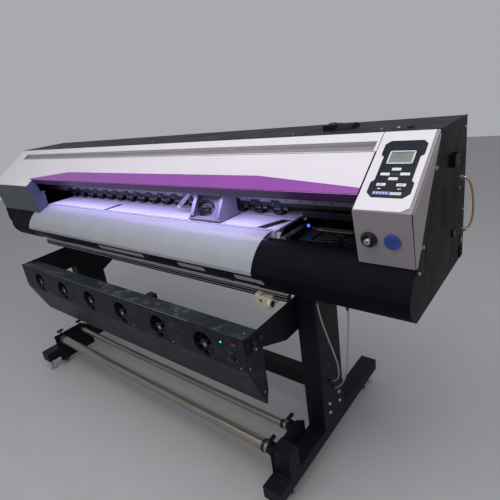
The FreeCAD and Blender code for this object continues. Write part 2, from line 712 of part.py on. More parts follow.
def belly_covers():
    """Black housings under both ends; the left one's bulge stops short of the end."""
    top = D["platen_height"] + 40
    back = D["rear_face"] - 0.5
    tail = ((back, top), (back - 3, top))
    end, step = D["half_width"] - 3.5, D["half_width"] - 200
    start = D["apron_right"] + 0.5
    right = pad("right_belly", nose_outline(0, 112.0, back, tail), start, end - start)
    pocket(right, "belly_slot", beam_slots()[2:], "XZ_Plane", 330.0, 60)
    ledge_z = nose[1] + D["nose_radius"] * sine(112.0) - 0.2
    ledge = box("bay_ledge", (D["platen_right"] + 1, D["cap_inner"] - 4), (-206.0, -180.0),
                (ledge_z - 3, ledge_z))
    bulge = pad("left_bulge", nose_outline(0, 112.0, back, tail), -step,
                step - D["apron_left"] - 0.5)
    floor = D["hull_floor"] - 0.5
    flat = pad("left_flat", [
        (-238.0, chin_z - 2), (-238.0, floor + 99), (-210.0, floor), (back, floor), tail[0],
        tail[1], (back - 3, floor + 3), (-207.7, floor + 3), (-235.0, floor + 99.6),
        (-235.0, chin_z - 2)], -end, end - step)
    inset = 3.2
    inner_nose, inner_belly = D["nose_radius"] - inset, D["belly_radius"] - inset
    web = pad("bulge_end", [
        polar(nose, inner_nose, 112.0), Bow(nose, inner_nose), polar(nose, inner_nose, NOSE_END),
        polar(belly, inner_belly, BELLY_START), Bow(belly, inner_belly),
        polar(belly, inner_belly, BELLY_END), (-150.0, floor + 4), (-150.0, nose[1] + 150)],
        -step, 3)
    label(group("bellies", [bulge, flat, web, right, ledge]), "belly_covers")


def front_beam():
    """Folded front beam with its rounded slots, and the clip rail below it."""
    inset = D["shell"] + 0.5
    outer = D["belly_radius"] - inset
    inner = outer - D["shell"]
    left, right = -D["apron_left"], D["apron_right"]
    top = polar(nose, D["nose_radius"] - inset, NOSE_END)
    top_in = polar(nose, D["nose_radius"] - inset - D["shell"], NOSE_END)
    floor_outer = polar(belly, outer, BELLY_END)
    floor_inner = polar(belly, inner, BELLY_END)
    body = pad("folded_beam", [
        top, polar(belly, outer, BELLY_START), Bow(belly, outer), floor_outer,
        (-100.0, floor_outer[1]), (-100.0, floor_inner[1]), floor_inner,
        Bow(belly, inner, False), polar(belly, inner, BELLY_START), top_in], left, right - left)
    pocket(body, "beam_slots", beam_slots(), "XZ_Plane", 330.0, 60)
    low = D["hull_floor"] - 29
    rail = box("clip_rail", (-900.0, 990.0), (-256.0, -230.0), (low, low + 28))
    ridges = [box(f"rail_ridge_{i}", (-900.0, 990.0), (-259.0, -256.0),
                  (low + 6 + 12 * i, low + 10 + 12 * i)) for i in (0, 1)]
    hangers = [box(f"rail_hanger_{i}", (700.0 * i - 15, 700.0 * i + 15), (-238.0, -231.0),
                   (low + 27, floor_outer[1])) for i in (-1, 0, 1)]
    rails = fuse("ridged_rail", [rail] + ridges + hangers)
    label(group("front_beam_group", [body, rails]), "front_beam")


def rail_clamp():
    """Cream clip that slides along the rail: a body with a round socket end and a hook."""
    low = D["hull_floor"] - 52
    x = (864.0, 930.0)
    base = box("clamp_base", x, (-292.0, -224.0), (low, low + 22.6))
    front = box("clamp_front", x, (-292.0, -260.5), (low + 20, low + 42))
    lip = box("clamp_lip", x, (-229.6, -224.0), (low + 20, low + 36))
    hook = box("clamp_hook", (x[0], x[0] + 22), (-288.0, -264.0), (low + 42, low + 52))
    barrel = rod("clamp_barrel", "x", (x[1] - 6, -282.0, low + 19), 21, 14)
    label(fuse("clamp_solid", [base, front, lip, hook, barrel]), "rail_clamp")


def rear_cover():
    """Black top and back shell, the rear media guide, and a low hood on the top."""
    crest, back = D["crest_height"], D["rear_face"]
    reach = D["half_width"] - 3.5
    low = D["platen_height"] + 43
    corner = 18.0
    centre = (back - corner, crest - corner)
    shell = pad("top_shell", [
        (4.0, crest - 1), (centre[0], crest), Bow(centre, corner, False),
        (back, centre[1]), (back, low), (back - 3, low), (back - 3, centre[1]),
        Bow(centre, corner - 3), (centre[0], crest - 3), (4.0, crest - 4)],
        -reach, reach * 2)
    lip = box("strip_lip", (3.0 - D["cheek_inner"], D["cap_inner"] - 4), (-38.0, 2.0),
              (-5.5, -D["skin"]), FASCIA)
    guide_top = D["platen_height"] - 4
    bend = (D["platen_back"] + 90, guide_top - 118.0)
    guide = pad("rear_guide", [
        (D["platen_back"] + 1, guide_top), (bend[0], guide_top), Bow(bend, 118, False),
        (bend[0] + 118, bend[1]), (bend[0] + 118, D["hull_floor"] + 3),
        (bend[0] + 115, D["hull_floor"] + 3), (bend[0] + 115, bend[1]),
        Bow(bend, 115), (bend[0], guide_top - 3), (D["platen_back"] + 1, guide_top - 3)],
        -D["platen_left"], D["platen_left"] + D["platen_right"])
    hood = box("hood_block", (985.0, 1040.0), (112.0, 180.0), (crest, crest + 17))
    dome = pad("hood_dome", [(110.0, crest), (200.0, crest), (188.0, crest + 12),
                             (170.0, crest + 17), (140.0, crest + 17), (122.0, crest + 12)],
               1040.0, 62)
    label(group("rear_group", [fuse("top_and_lip", [shell, lip]), guide, hood, dome]), "rear_cover")


def top_fascia():
    """White upper panel: the long finger groove and, at the left, the flank beside the door."""
    top, bottom, depth = D["groove_top"], D["groove_bottom"], D["groove_depth"]
    left, right = -D["half_width"] + D["cap_rim"], D["cap_inner"] - D["gap"]
    start, stop = -D["groove_left"], right - 12
    skin = D["skin"]
    edge = -bottom - skin
    channel = pad("groove_channel", [
        (-3.0, -skin), (-3.0, 0.0), (-top, 0.0), (-top, -depth), (-bottom, -depth), (-bottom, 0.0),
        (edge, 0.0), (edge, -depth - skin), (skin - top, -depth - skin), (skin - top, -skin)],
        start, stop - start, "YZ_Plane", FASCIA)
    flank = pad("door_flank", [
        (left, 3.0 - D["fascia_length"]), (-D["cheek_inner"], 3.0 - D["fascia_length"]),
        (-D["cheek_inner"], -D["door_end"] - 2.5), (-D["door_left"] - 2, -D["door_end"] - 2.5),
        (-D["door_left"] - 2, edge), (start, edge), (start, -3.0), (left, -3.0)],
        -skin, skin, "XY_Plane", FASCIA)
    end = box("strip_end", (stop, right), (edge, -3.0), (-skin, 0.0 * skin), FASCIA)
    wall = (-depth - skin, -skin)
    stops = [box(f"groove_stop_{i}", x, (edge, skin - top), wall, FASCIA)
             for i, x in enumerate(((start - skin, start), (stop, stop + skin)))]
    label(fuse("fascia_solid", [channel, flank, end] + stops), "top_fascia")


def right_end_cap():
    """White panel at the right end, with its lower outer corner clipped."""
    left, right = D["cap_inner"], D["half_width"] - D["cap_rim"]
    low = 3.0 - D["fascia_length"]
    body = pad("cap_plate", [(left, low), (right - 22, low), (right, low + 16), (right, -3.0),
                             (left, -3.0)],
               -D["skin"], D["skin"], "XY_Plane", FASCIA)
    label(body, "right_end_cap")


def end_cheeks():
    """Grey bent sheets: chin panel in front, rounded outer edge and a tapering side flange."""
    cheeks = []
    limits = (("left", -1, D["half_width"] - D["cheek_inner"]),
              ("right", 1, D["half_width"] - D["cap_inner"]))
    wall = D["shell"]
    for word, side, width in limits:
        x = mirror_limits(D["half_width"] - width, D["half_width"], side)
        _, top_y, top_z = FASCIA.point(0.0, -2.0, -D["skin"])
        _, knee_y, knee_z = FASCIA.point(0.0, -D["fascia_length"], -D["skin"])
        block = pad(f"{word}_cheek_block", [
            (top_y, top_z), (knee_y, knee_z), (chin_y, chin_z), (chin_y + 9, chin_z),
            (-199.0, chin_z + 50), (-110.0, D["crest_height"] - 162), (3.0, D["crest_height"] - 2.6)],
            x[0], width)
        bent = (block.Tip, outer_edges(block.Shape, x[1] if side > 0 else x[0]))
        rounded = block.newObject("PartDesign::Fillet", f"{word}_cheek_round")
        rounded.Base = bent
        rounded.Radius = 12.0
        block.Tip = rounded
        doc.recompute()
        inside = mirror_limits(D["half_width"] - width - 1, D["half_width"] - wall, side)
        under = box(f"{word}_under_slope", inside, (-500.0, 60.0), (-400.0, -D["skin"] - wall),
                    FASCIA)
        behind = box(f"{word}_behind_chin", inside, (wall, 600.0), (-400.0, 400.0), CHIN)
        hollow = doc.addObject("Part::MultiCommon", f"{word}_cheek_hollow")
        hollow.Shapes = [under, behind]
        outside = cut(f"{word}_cheek_sheet", block, hollow)
        if side < 0:
            outside = cut("left_cheek_notched", outside, cheek_notches())
        corners = [CHIN.point(0.0, 2.0, -D["chin_length"]), CHIN.point(0.0, 2.0, -8.0),
                   FASCIA.point(0.0, -D["fascia_length"] + 8, -4.0),
                   FASCIA.point(0.0, -272.0, -4.0), FASCIA.point(0.0, -272.0, -34.0)]
        nose_top = nose[1] + D["nose_radius"]
        above_nose = [(nose[0] - 25, nose_top + 0.0), (nose[0] - 61, nose_top - 8.5)]
        across = mirror_limits(D["half_width"] - width - 3, D["half_width"] - width, side)
        inner_wall = pad(f"{word}_cheek_wall", [(y, z) for _, y, z in corners] + above_nose,
                         across[0], 3)
        cheeks += [outside, inner_wall]
    label(group("cheek_group", cheeks), "end_cheeks")


def cheek_notches():
    """Openings in the left cheek's slope for the groove channel and for the door's corner."""
    groove = box("groove_notch", (-D["groove_left"] - 4, 4 - D["cheek_inner"]),
                 (-D["groove_bottom"] - 4, -D["groove_top"] + 4), (-60.0, 5.0), FASCIA)
    corner = box("door_notch", (-D["door_left"] - 5, 4 - D["cheek_inner"]),
                 (-D["door_end"] - 2, -D["groove_bottom"]), (-60.0, 5.0), FASCIA)
    return fuse("cheek_notch_tool", [groove, corner])


def outer_edges(shape, x):
    """Names of the two front edges of a cheek block that lie in its outer side face."""
    names = []
    for number, edge in enumerate(shape.Edges, start=1):
        ends = [vertex.Point for vertex in edge.Vertexes]
        flat = all(abs(point.x - float(x)) < 0.01 for point in ends)
        middle = (ends[0] + ends[-1]) * 0.5
        ahead = middle.y < -240 or (middle.y < -100 and middle.z > 1330)
        if flat and ahead and edge.Length > 100:
            names.append(f"Edge{number}")
    return names


def side_panels():
    """Flat black end panels, with the grip handle and the round lock on each."""
    pieces = []
    crest, back, floor = D["crest_height"], D["rear_face"], D["hull_floor"]
    nose_low = polar(nose, D["nose_radius"] + 0.5, NOSE_END)
    nose_high = polar(nose, D["nose_radius"] + 0.5, 122.5)
    belly_in = polar(belly, D["belly_radius"] + 0.5, BELLY_START)
    belly_out = polar(belly, D["belly_radius"] + 0.5, BELLY_END)
    for word, side in SIDES:
        x = mirror_limits(D["half_width"] - 3, D["half_width"], side)
        bulged = [(nose_high[0], nose_high[1] - 3), Bow(nose, D["nose_radius"] + 0.5), nose_low,
                  belly_in, Bow(belly, D["belly_radius"] + 0.5), belly_out]
        straight = [(-240.0, chin_z - 2), (-240.0, floor + 99), (-212.0, floor)]
        pieces.append(pad(f"{word}_panel", [
            (back, floor), (back, crest), (5.5, crest - 0.6), (-107.5, crest - 162),
            (-196.5, chin_z + 50), (nose_high[0] + 4, chin_z - 1)]
            + (bulged if side > 0 else straight), x[0], 3))
        grip = mirror_limits(D["half_width"], D["half_width"] + 16, side)
        feet = [box(f"{word}_grip_foot_{i}", grip, (104.0 + 54 * i, 114.0 + 54 * i),
                    (crest - 144, crest - 102)) for i in (0, 1)]
        bar = box(f"{word}_grip_bar", mirror_limits(D["half_width"] + 10, D["half_width"] + 16, side),
                  (114.0, 158.0), (crest - 144, crest - 102))
        pieces.append(fuse(f"{word}_grip", feet + [bar]))
        lock = mirror_limits(D["half_width"], D["half_width"] + 6, side)
        pieces.append(rod(f"{word}_lock", "x", (lock[0], 162.0, 1054.0), 14, 6))
    seat = (D["half_width"] + 0.0, D["half_width"] + 2)
    switch_frame = box("switch_frame", seat, (270.0, 296.0), (971.0, 1001.0))
    switch_hole = box("switch_hole", (seat[0] + 0.5, seat[1] + 1), (272.5, 293.5), (973.5, 998.5))
    pieces.append(cut("switch_bezel", switch_frame, switch_hole))
    inlet = box("inlet_block", (seat[0], seat[1] + 4), (268.0, 298.0), (915.0, 958.0))
    inlet_hole = box("inlet_hole", (seat[0] + 1, seat[1] + 5), (272.0, 294.0), (921.0, 952.0))
    pieces.append(cut("power_inlet", inlet, inlet_hole))
    label(group("panel_group", pieces), "side_panels")


def main_switch():
    """Red mains rocker in its frame near the back of the right end panel."""
    x = D["half_width"] + 1
    outline = [(x, 986.0), (x + 1.6, 974.5), (x + 4.4, 974.5), (x + 3.2, 986.0),
               (x + 4.4, 997.5), (x + 1.6, 997.5)]
    rocker = pad("mains_rocker", outline, -292.5, 19, "XZ_Plane")
    label(rocker, "main_switch")


def front_cover():
    """Flip-up door: a flat sheet with a top fold and a stiffening return inside its lower edge."""
    left, right = -D["door_left"], D["cap_inner"] - 3
    top, low = -D["groove_bottom"] - 3.5, -D["door_end"]
    sheet_part = box("door_sheet", (left, right), (low, top), (-D["skin"], 0.0 * D["skin"]), FASCIA)
    fold = box("door_fold", (left, right), (top - 2.5, top), (-14.0, -D["skin"]), FASCIA)
    inner = box("door_return", (left + 12, right - 12), (low + 8, low + 11), (-22.0, -D["skin"]), FASCIA)
    ends = [box(f"door_end_{i}", x, (low + 11, top - 2.5), (-14.0, -D["skin"]), FASCIA)
            for i, x in enumerate(((left, left + 2.5), (right - 2.5, right)))]
    label(fuse("door_solid", [sheet_part, fold, inner] + ends), "front_cover")


def cover_trim():
    """Purple band along the door's lower edge, and the dark lip folded back under it."""
    left, right = -D["door_left"] + 15, D["cap_inner"] - 4
    low = -D["door_end"]
    band = pad("trim_band", [(left, low), (right, low), (right, low + 24), (858.0, low + 65),
                             (-533.0, low + 65), (left, low + 7)], 0.3, 2, "XY_Plane", FASCIA)
    _, lip_y, lip_z = FASCIA.point(0.0, low - 1.1, 0.3)
    lip = pad("trim_lip", [(lip_y, lip_z + 1), (lip_y + 4, lip_z - 4), (lip_y + 22, lip_z - 31),
                           (lip_y + 19, lip_z - 32), (lip_y - 1.5, lip_z - 1)],
              5 - D["cheek_inner"], D["cheek_inner"] + D["cap_inner"] - 11)
    label(group("trim_group", [band, lip]), "cover_trim")


# ---------------------------------------------------------------- controls
KEYS = {"key_up": (1361.0, 169.0), "key_left": (1332.0, 189.0), "key_right": (1391.0, 188.0),
        "key_down": (1361.0, 207.0), "key_pause": (1332.0, 230.0), "key_enter": (1391.0, 230.0)}


def key_limits(centre, extra):
    x, down = centre
    half_x, half_v = D["key_width"] / 2 + extra, D["key_depth"] / 2 + extra
    return (x - half_x, x + half_x), (-down - half_v, -down + half_v)


def control_panel():
    """Dark keypad plate with its waist, the display window, the button bezel and dial seat."""
    left, right, top, low = 1297.0, 1425.0, -48.0, -278.0
    waist = 9.0
    plate = pad("keypad_plate", [
        (left + 18, low), (right - 18, low), (right, low + 18), (right, low + 58),
        (right - waist, low + 66), (right - waist, top - 68), (right, top - 60),
        (right, top - 14), (right - 14, top), (left + 14, top), (left, top - 14),
        (left, top - 60), (left + waist, top - 68), (left + waist, low + 66),
        (left, low + 58), (left, low + 18)], 0.0 * D["skin"], 1.2, "XY_Plane", FASCIA)
    holes = [rectangle(*key_limits(centre, 0.4)) for centre in KEYS.values()]
    pocket(plate, "key_windows", holes, "XY_Plane", 1.3, 1.4)
    window = box("display_window", (1325.0, 1398.0), (-145.0, -97.0), (1.2, 2.4), FASCIA)
    bezel_solid = stud("bezel_body", CHIN, 1317.0, 0.0, -95.0, D["knob_radius"], 9, 90)
    bezel_bore = stud("bezel_bore", CHIN, 1317.0, 1.0, -95.0, 9.1, 12, 90)
    bezel = cut("button_bezel", bezel_solid, bezel_bore)
    label(group("control_group", [plate, window, bezel]), "control_panel")


def keys():
    for name, centre in KEYS.items():
        x, v = key_limits(centre, 0)
        label(box(f"{name}_cap", x, v, (0.9, 2.7), FASCIA), name)


def power_button():
    stem = stud("button_stem", CHIN, 1317.0, -5.0, -95.0, 9, 10, 90)
    tip = stud("button_tip", CHIN, 1317.0, -15.0, -95.0, 10.5, 6, 90)
    label(fuse("button_solid", [stem, tip]), "power_button")


def blue_dial():
    rim = stud("dial_rim", CHIN, 1387.0, -0.5, -96.0, D["knob_radius"], 5, 90)
    centre = stud("dial_centre", CHIN, 1387.0, -5.5, -96.0, 6, 2, 90)
    mark = box("dial_mark", (1386.0, 1388.0), (-6.2, -5.5), (-82.0, -76.0), CHIN)
    label(fuse("dial_solid", [rim, centre, mark]), "blue_dial")


# ---------------------------------------------------------------- roll handling
def roll_brackets():
    """Take-up plates in front, supply plates behind, shaft blocks with T screws, motor box."""
    pieces = []
    for word, side in SIDES:
        x = mirror_limits(D["plate_x"] - 4, D["plate_x"], side)
        pieces.append(pad(f"{word}_takeup_plate", [
            (-402.0, 40.0), (-143.0, 40.0), (-143.0, 190.0), (-200.0, 236.0), (-402.0, 236.0)],
            x[0], 4))
        pieces.append(pad(f"{word}_supply_plate", [
            (D["leg_back"], 540.0), (D["leg_back"], 740.0), (D["supply_y"] + 30, 740.0),
            (D["supply_y"] + 30, 670.0)], x[0], 4))
        pieces.append(box(f"{word}_supply_flange", mirror_limits(D["plate_x"], D["plate_x"] + 70, side),
                          (D["leg_back"], D["leg_back"] + 4), (540.0, 740.0)))
        inner = mirror_limits(D["plate_x"] - 34, D["plate_x"] - 4, side)
        stations = (("takeup", -D["takeup_y"], D["shaft_height"], 10.05),
                    ("tension", -D["tension_y"], D["shaft_height"], 10.05),
                    ("supply", D["supply_y"], D["supply_height"], 10.05))
        for station, y, z, bore in stations:
            block = box(f"{word}_{station}_block", inner, (y - 20, y + 20), (z - 18, z + 24))
            hole = rod(f"{word}_{station}_hole", "x", (inner[0] - 1, y, z), bore, 32)
            pieces.append(cut(f"{word}_{station}_holder", block, hole))
            middle = (inner[0] + inner[1]) / 2
            screw = rod(f"{word}_{station}_screw", "z", (middle, y, z + 24), 4, 30)
            tee = box(f"{word}_{station}_tee", (middle - 7, middle + 7), (y - 20, y + 20),
                      (z + 54, z + 66))
            pieces.append(fuse(f"{word}_{station}_tscrew", [screw, tee]))
    motor = box("takeup_motor", (D["plate_x"] + 0.0, D["plate_x"] + 5.5),
                (-D["takeup_y"] - 40, -D["takeup_y"] + 40), (160.0, 250.0))
    cover = box("takeup_motor_cover", (D["plate_x"] + 5.5, D["plate_x"] + 85),
                (-D["takeup_y"] - 36, -D["takeup_y"] + 36), (D["foot_top"] + 1, 250.0))
    pieces.append(fuse("takeup_motor_box", [motor, cover]))
    label(group("bracket_group", pieces), "roll_brackets")


def shaft(name, y, z, radius):
    reach = D["plate_x"] - 4.5
    body = D["plate_x"] - 42
    core = rod(f"{name}_core", "x", (-reach, y, z), 10, reach * 2)
    tube = rod(f"{name}_tube", "x", (-body, y, z), radius, body * 2)
    label(fuse(f"{name}_solid", [core, tube]), name)


def shafts():
    shaft("takeup_shaft", -D["takeup_y"], D["shaft_height"], D["takeup_radius"])
    shaft("tension_shaft", -D["tension_y"], D["shaft_height"], D["tension_radius"])
    shaft("supply_shaft", D["supply_y"], D["supply_height"], D["takeup_radius"])


# ---------------------------------------------------------------- dryer
def fan_x(index):
    return D["fan_pitch"] * (index - 2.5) - 6.6


def dryer_housing():
    """Folded sheet box: front with six fan holes, sloping belly, top ledge, ends, fan rings."""
    half, front, top = D["dryer_half"], -D["dryer_front"], D["dryer_top"]
    fold, floor = D["dryer_fold"], D["dryer_floor"]
    face = pad("dryer_face", rectangle((-half, half), (fold, top)), -front - 3, 3, "XZ_Plane")
    circle = disc((fan_x(0), D["fan_height"]), D["fan_hole"])
    pocket(face, "fan_holes", [circle], "XZ_Plane", -front, 3.5,
           (D["fan_count"], D["fan_pitch"]))
    ledge = pad("dryer_ledge", [(front + 3, top - 3), (front + 3, top), (front + 101, top - 20),
                                (front + 101, top - 23)], -half, half * 2)
    belly_sheet = pad("dryer_belly", [(front + 0.5, fold), (front + 80, floor), (front + 83.2, floor),
                                      (front + 3.6, fold)], -half, half * 2)
    ends = [pad(f"dryer_end_{word}", [
        (front + 4, top - 4), (front + 101, top - 23.5), (front + 101, floor + 60),
        (front + 84, floor), (front + 4.4, fold)],
        mirror_limits(half - 3, half, side)[0], 3) for word, side in SIDES]
    rings = []
    for i in range(int(D["fan_count"])):
        x, z = fan_x(i), D["fan_height"]
        ring_block = box(f"fan_block_{i}", (x - 60, x + 60), (front + 3, front + 28), (z - 60, z + 60))
        bore = rod(f"fan_bore_{i}", "y", (x, front + 2, z), D["fan_hole"] - 1, 27)
        motor = rod(f"fan_motor_{i}", "y", (x, front + 24, z), 19, 4)
        spoke = box(f"fan_spoke_{i}", (x - 57, x + 57), (front + 24, front + 28), (z - 3, z + 3))
        frame_solid = cut(f"fan_ring_{i}", ring_block, bore)
        rings.append(fuse(f"fan_frame_{i}", [frame_solid, motor, spoke]))
    label(group("dryer_group", [face, ledge, belly_sheet] + ends + rings), "dryer_housing")


def fan_impellers():
    """Six fan rotors, each a hub with seven pitched blades."""
    blades_per_fan = 7
    for i in range(int(D["fan_count"])):
        x, y, z = fan_x(i), 7.0 - D["dryer_front"], D["fan_height"]
        hub = rod(f"rotor_hub_{i}", "y", (x, y, z), 20, 14)
        blades = []
        for number in range(blades_per_fan):
            blade = doc.addObject("Part::Box", f"rotor_blade_{i}_{number}")
            blade.Length = float(D["blade_radius"]) - 17
            bind(blade, "Length", D["blade_radius"] - 17)
            blade.Width = 1.6
            blade.Height = 22
            angle = 360.0 * number / blades_per_fan
            spin = FreeCAD.Rotation(FreeCAD.Vector(0, 1, 0), angle)
            pitch = FreeCAD.Rotation(FreeCAD.Vector(1, 0, 0), -55)
            offset = spin.multVec(FreeCAD.Vector(17, 6.5, 0) + pitch.multVec(FreeCAD.Vector(0, -0.8, -11)))
            place(blade, (x + offset.x, y + offset.y, z + offset.z), turn=spin.multiply(pitch))
            blades.append(blade)
        label(fuse(f"rotor_{i}", [hub] + blades), f"fan_impeller_{i + 1}")


def dryer_controls():
    front = -D["dryer_front"]
    rocker = pad("rocker_body", [(front - 1.9, 760.0), (front - 0.5, 767.5), (front - 1.9, 775.0),
                                 (front - 4.5, 776.0), (front - 3, 767.5), (front - 4.5, 759.0)],
                 853.0, 22)
    label(rocker, "dryer_rocker")
    dial = rod("heat_dial", "y", (849.0, front - 16, 710.0), 15, 15.5)
    pointer = box("heat_pointer", (847.5, 850.5), (front - 18, front - 16), (711.0, 724.0))
    label(fuse("heat_knob", [dial, pointer]), "dryer_knob")


# ---------------------------------------------------------------- cords
INK_TUBE = [(1450, 254, 1238), (1468, 255, 1236), (1480, 260, 1223), (1486, 269, 1199),
            (1488, 282, 1165), (1488, 297, 1127), (1486, 310, 1090), (1482, 317, 1059),
            (1476, 318, 1037), (1467, 314, 1022), (1450, 311, 1018)]
DRYER_CABLE = [(1096, -226, 906.45), (1096.5, -225, 882), (1095, -214, 836), (1091, -192, 778),
               (1089, -165, 712), (1088, -137, 642), (1087, -109, 574), (1082, -84, 512),
               (1072, -62, 456), (1058, -45, 412), (1040, -35, 384), (1024, -31, 371),
               (1010.4, -30, 366)]
TAKEUP_CABLE = [(1216, -226, 906.45), (1216.5, -225, 880), (1211, -216, 836), (1198, -200, 778),
                (1182, -176, 714), (1165, -149, 648), (1148, -122, 586), (1130, -96, 526),
                (1110, -72, 468), (1087, -50, 412), (1061, -30, 364), (1034, -15, 328),
                (1010.9, -9.2, 312.6)]


def cord(name, points, radius, side_limit):
    """A tube of straight runs joined by arcs as large as the runs allow."""
    route = [FreeCAD.Vector(*point) for point in points]
    edges = []
    here = route[0]
    sharpest = side_limit
    for before, corner, after in zip(route, route[1:], route[2:]):
        run_in = (corner - before).normalize()
        run_out = (after - corner).normalize()
        half_turn = run_in.getAngle(run_out) / 2
        trim = 0.45 * min(before.distanceToPoint(corner), corner.distanceToPoint(after))
        bend = trim / math.tan(half_turn)
        sharpest = min(sharpest, bend)
        start = corner - run_in * trim
        end = corner + run_out * trim
        inward = (run_out - run_in).normalize()
        middle = corner + inward * (bend / math.cos(half_turn) - bend)
        edges.append(Part.LineSegment(here, start).toShape())
        edges.append(Part.Arc(start, middle, end).toShape())
        here = end
    edges.append(Part.LineSegment(here, route[-1]).toShape())
    wire = Part.Wire(edges)
    aim = (route[1] - route[0]).normalize()
    section = Part.Wire(Part.makeCircle(radius, route[0], aim))
    tube = wire.makePipeShell([section], True, False, 2)
    expected = math.pi * radius ** 2 * wire.Length
    print(f"{name}: length {wire.Length:.0f}, sharpest bend {sharpest:.0f}, "
          f"volume over expected {tube.Volume / expected:.3f}")
    feature = doc.addObject("Part::Feature", f"{name}_tube")
    feature.Shape = tube
    label(feature, name)


def cords():
    cord("ink_tube", INK_TUBE, 4.0, 1000.0)
    cord("dryer_cable", DRYER_CABLE, 3.0, 1000.0)
    cord("takeup_cable", TAKEUP_CABLE, 3.0, 1000.0)


# ---------------------------------------------------------------- fasteners
def fasteners():
    """Screw heads of the side flanges, the dryer arms, the fans, and the cord bushes."""
    heads = []
    crest = D["crest_height"]
    for word, side in SIDES:
        start = D["half_width"] if side > 0 else -D["half_width"] - 4
        for number, (y, z) in enumerate(((-56.0, crest - 108), (-185.0, chin_z + 50),
                                         (-222.0, chin_z - 20), (300.0, crest - 40),
                                         (310.0, D["hull_floor"] + 40))):
            heads.append(rod(f"{word}_panel_screw_{number}", "x", (start, y, z), 6, 4))
        arm = mirror_limits(D["leg_inner"], D["leg_inner"] + 10, side)[0]
        for number, y in enumerate((-400.0, -360.0)):
            heads.append(rod(f"{word}_arm_screw_{number}", "x", (arm, y, 770.0), 9, 10))
    front = -D["dryer_front"]
    for i in range(int(D["fan_count"])):
        for number, (dx, dz) in enumerate(((-52.5, -52.5), (-52.5, 52.5), (52.5, -52.5), (52.5, 52.5))):
            heads.append(rod(f"fan_screw_{i}_{number}", "y",
                             (fan_x(i) + dx, front - 2.5, D["fan_height"] + dz), 4, 2.5))
    for number, (x, y, z, axis) in enumerate((
            (1450, 254, 1238, "x"), (1450, 311, 1018, "x"))):
        collar = rod(f"collar_body_{number}", axis, (x, y, z), 9, 10)
        bore = rod(f"collar_bore_{number}", axis, (x - 1, y, z), 4.4, 14)
        heads.append(cut(f"tube_collar_{number}", collar, bore))
    label(group("fastener_group", heads), "fasteners")


# ---------------------------------------------------------------- build, check, export
BUILDERS = (legs, cross_beam, levelling_feet, casters, side_frames, main_beam, drive_belt,
            drive_pulley, platen, front_apron, feed_roller, pinch_arms, pinch_rollers, carriage,
            service_bay, belly_covers, front_beam, rail_clamp, rear_cover, top_fascia,
            right_end_cap, end_cheeks, side_panels, main_switch, front_cover, cover_trim,
            control_panel, keys,
            power_button, blue_dial, roll_brackets, shafts, dryer_housing, fan_impellers,
            dryer_controls, cords, fasteners)


def check(pieces):
    doc.recompute()
    for item in doc.Objects:
        if "Invalid" in item.State or "Error" in item.State:
            raise RuntimeError(f"{item.Label} failed to build")
    bad = [piece.Label for piece in pieces if piece.Shape.isNull() or not piece.Shape.isValid()]
    if bad:
        raise RuntimeError(f"no valid shape: {bad}")


for build in BUILDERS:
    build()
check(NODES)
os.makedirs("parts", exist_ok=True)
for node in NODES:
    node.Shape.exportStep(f"parts/{node.Label}.step")
print(f"{len(NODES)} parts written")
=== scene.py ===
"""Looks for the wide-format printer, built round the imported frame.  Metres."""

import json
import math

import bmesh
import bpy
from mathutils import Matrix, Vector

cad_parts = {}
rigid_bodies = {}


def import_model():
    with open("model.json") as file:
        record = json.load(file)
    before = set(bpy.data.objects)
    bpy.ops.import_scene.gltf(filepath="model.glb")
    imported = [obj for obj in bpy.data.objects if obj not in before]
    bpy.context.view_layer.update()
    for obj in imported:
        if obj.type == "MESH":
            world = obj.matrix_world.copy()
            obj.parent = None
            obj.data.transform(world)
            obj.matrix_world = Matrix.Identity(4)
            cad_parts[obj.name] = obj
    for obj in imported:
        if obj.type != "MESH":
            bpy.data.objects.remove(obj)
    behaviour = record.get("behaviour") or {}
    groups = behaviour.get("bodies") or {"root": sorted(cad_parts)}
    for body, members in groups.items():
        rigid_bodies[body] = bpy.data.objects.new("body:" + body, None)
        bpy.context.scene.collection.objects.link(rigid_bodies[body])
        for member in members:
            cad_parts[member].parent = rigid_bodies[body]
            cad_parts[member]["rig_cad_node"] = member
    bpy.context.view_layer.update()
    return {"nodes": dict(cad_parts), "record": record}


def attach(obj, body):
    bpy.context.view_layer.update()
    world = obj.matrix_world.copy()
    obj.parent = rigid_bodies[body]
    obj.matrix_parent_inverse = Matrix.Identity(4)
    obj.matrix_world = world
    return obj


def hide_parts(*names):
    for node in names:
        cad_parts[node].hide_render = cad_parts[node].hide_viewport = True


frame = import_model()

# ------------------------------------------------------------------ camera
CAMERA_AT = Vector((1.790, -1.3381, 1.6321))
CAMERA_YAW = math.radians(40.91)
CAMERA_PITCH = math.radians(19.38)
CAMERA_ROLL = math.radians(-8.28)
CAMERA_LENS = 29.32
CAMERA_SENSOR = 36.0
CAMERA_SHIFT = -0.028


def add_camera():
    data = bpy.data.cameras.new("camera")
    data.lens = CAMERA_LENS
    data.sensor_width = CAMERA_SENSOR
    data.shift_y = CAMERA_SHIFT
    camera = bpy.data.objects.new("camera", data)
    bpy.context.scene.collection.objects.link(camera)
    forward = Vector((-math.sin(CAMERA_YAW) * math.cos(CAMERA_PITCH),
                      math.cos(CAMERA_YAW) * math.cos(CAMERA_PITCH), -math.sin(CAMERA_PITCH)))
    level = Vector((math.cos(CAMERA_YAW), math.sin(CAMERA_YAW), 0.0))
    upward = level.cross(forward)
    right = math.cos(CAMERA_ROLL) * level + math.sin(CAMERA_ROLL) * upward
    up = -math.sin(CAMERA_ROLL) * level + math.cos(CAMERA_ROLL) * upward
    turn = Matrix((right, up, -forward)).transposed().to_4x4()
    camera.matrix_world = Matrix.Translation(CAMERA_AT) @ turn
    bpy.context.scene.camera = camera


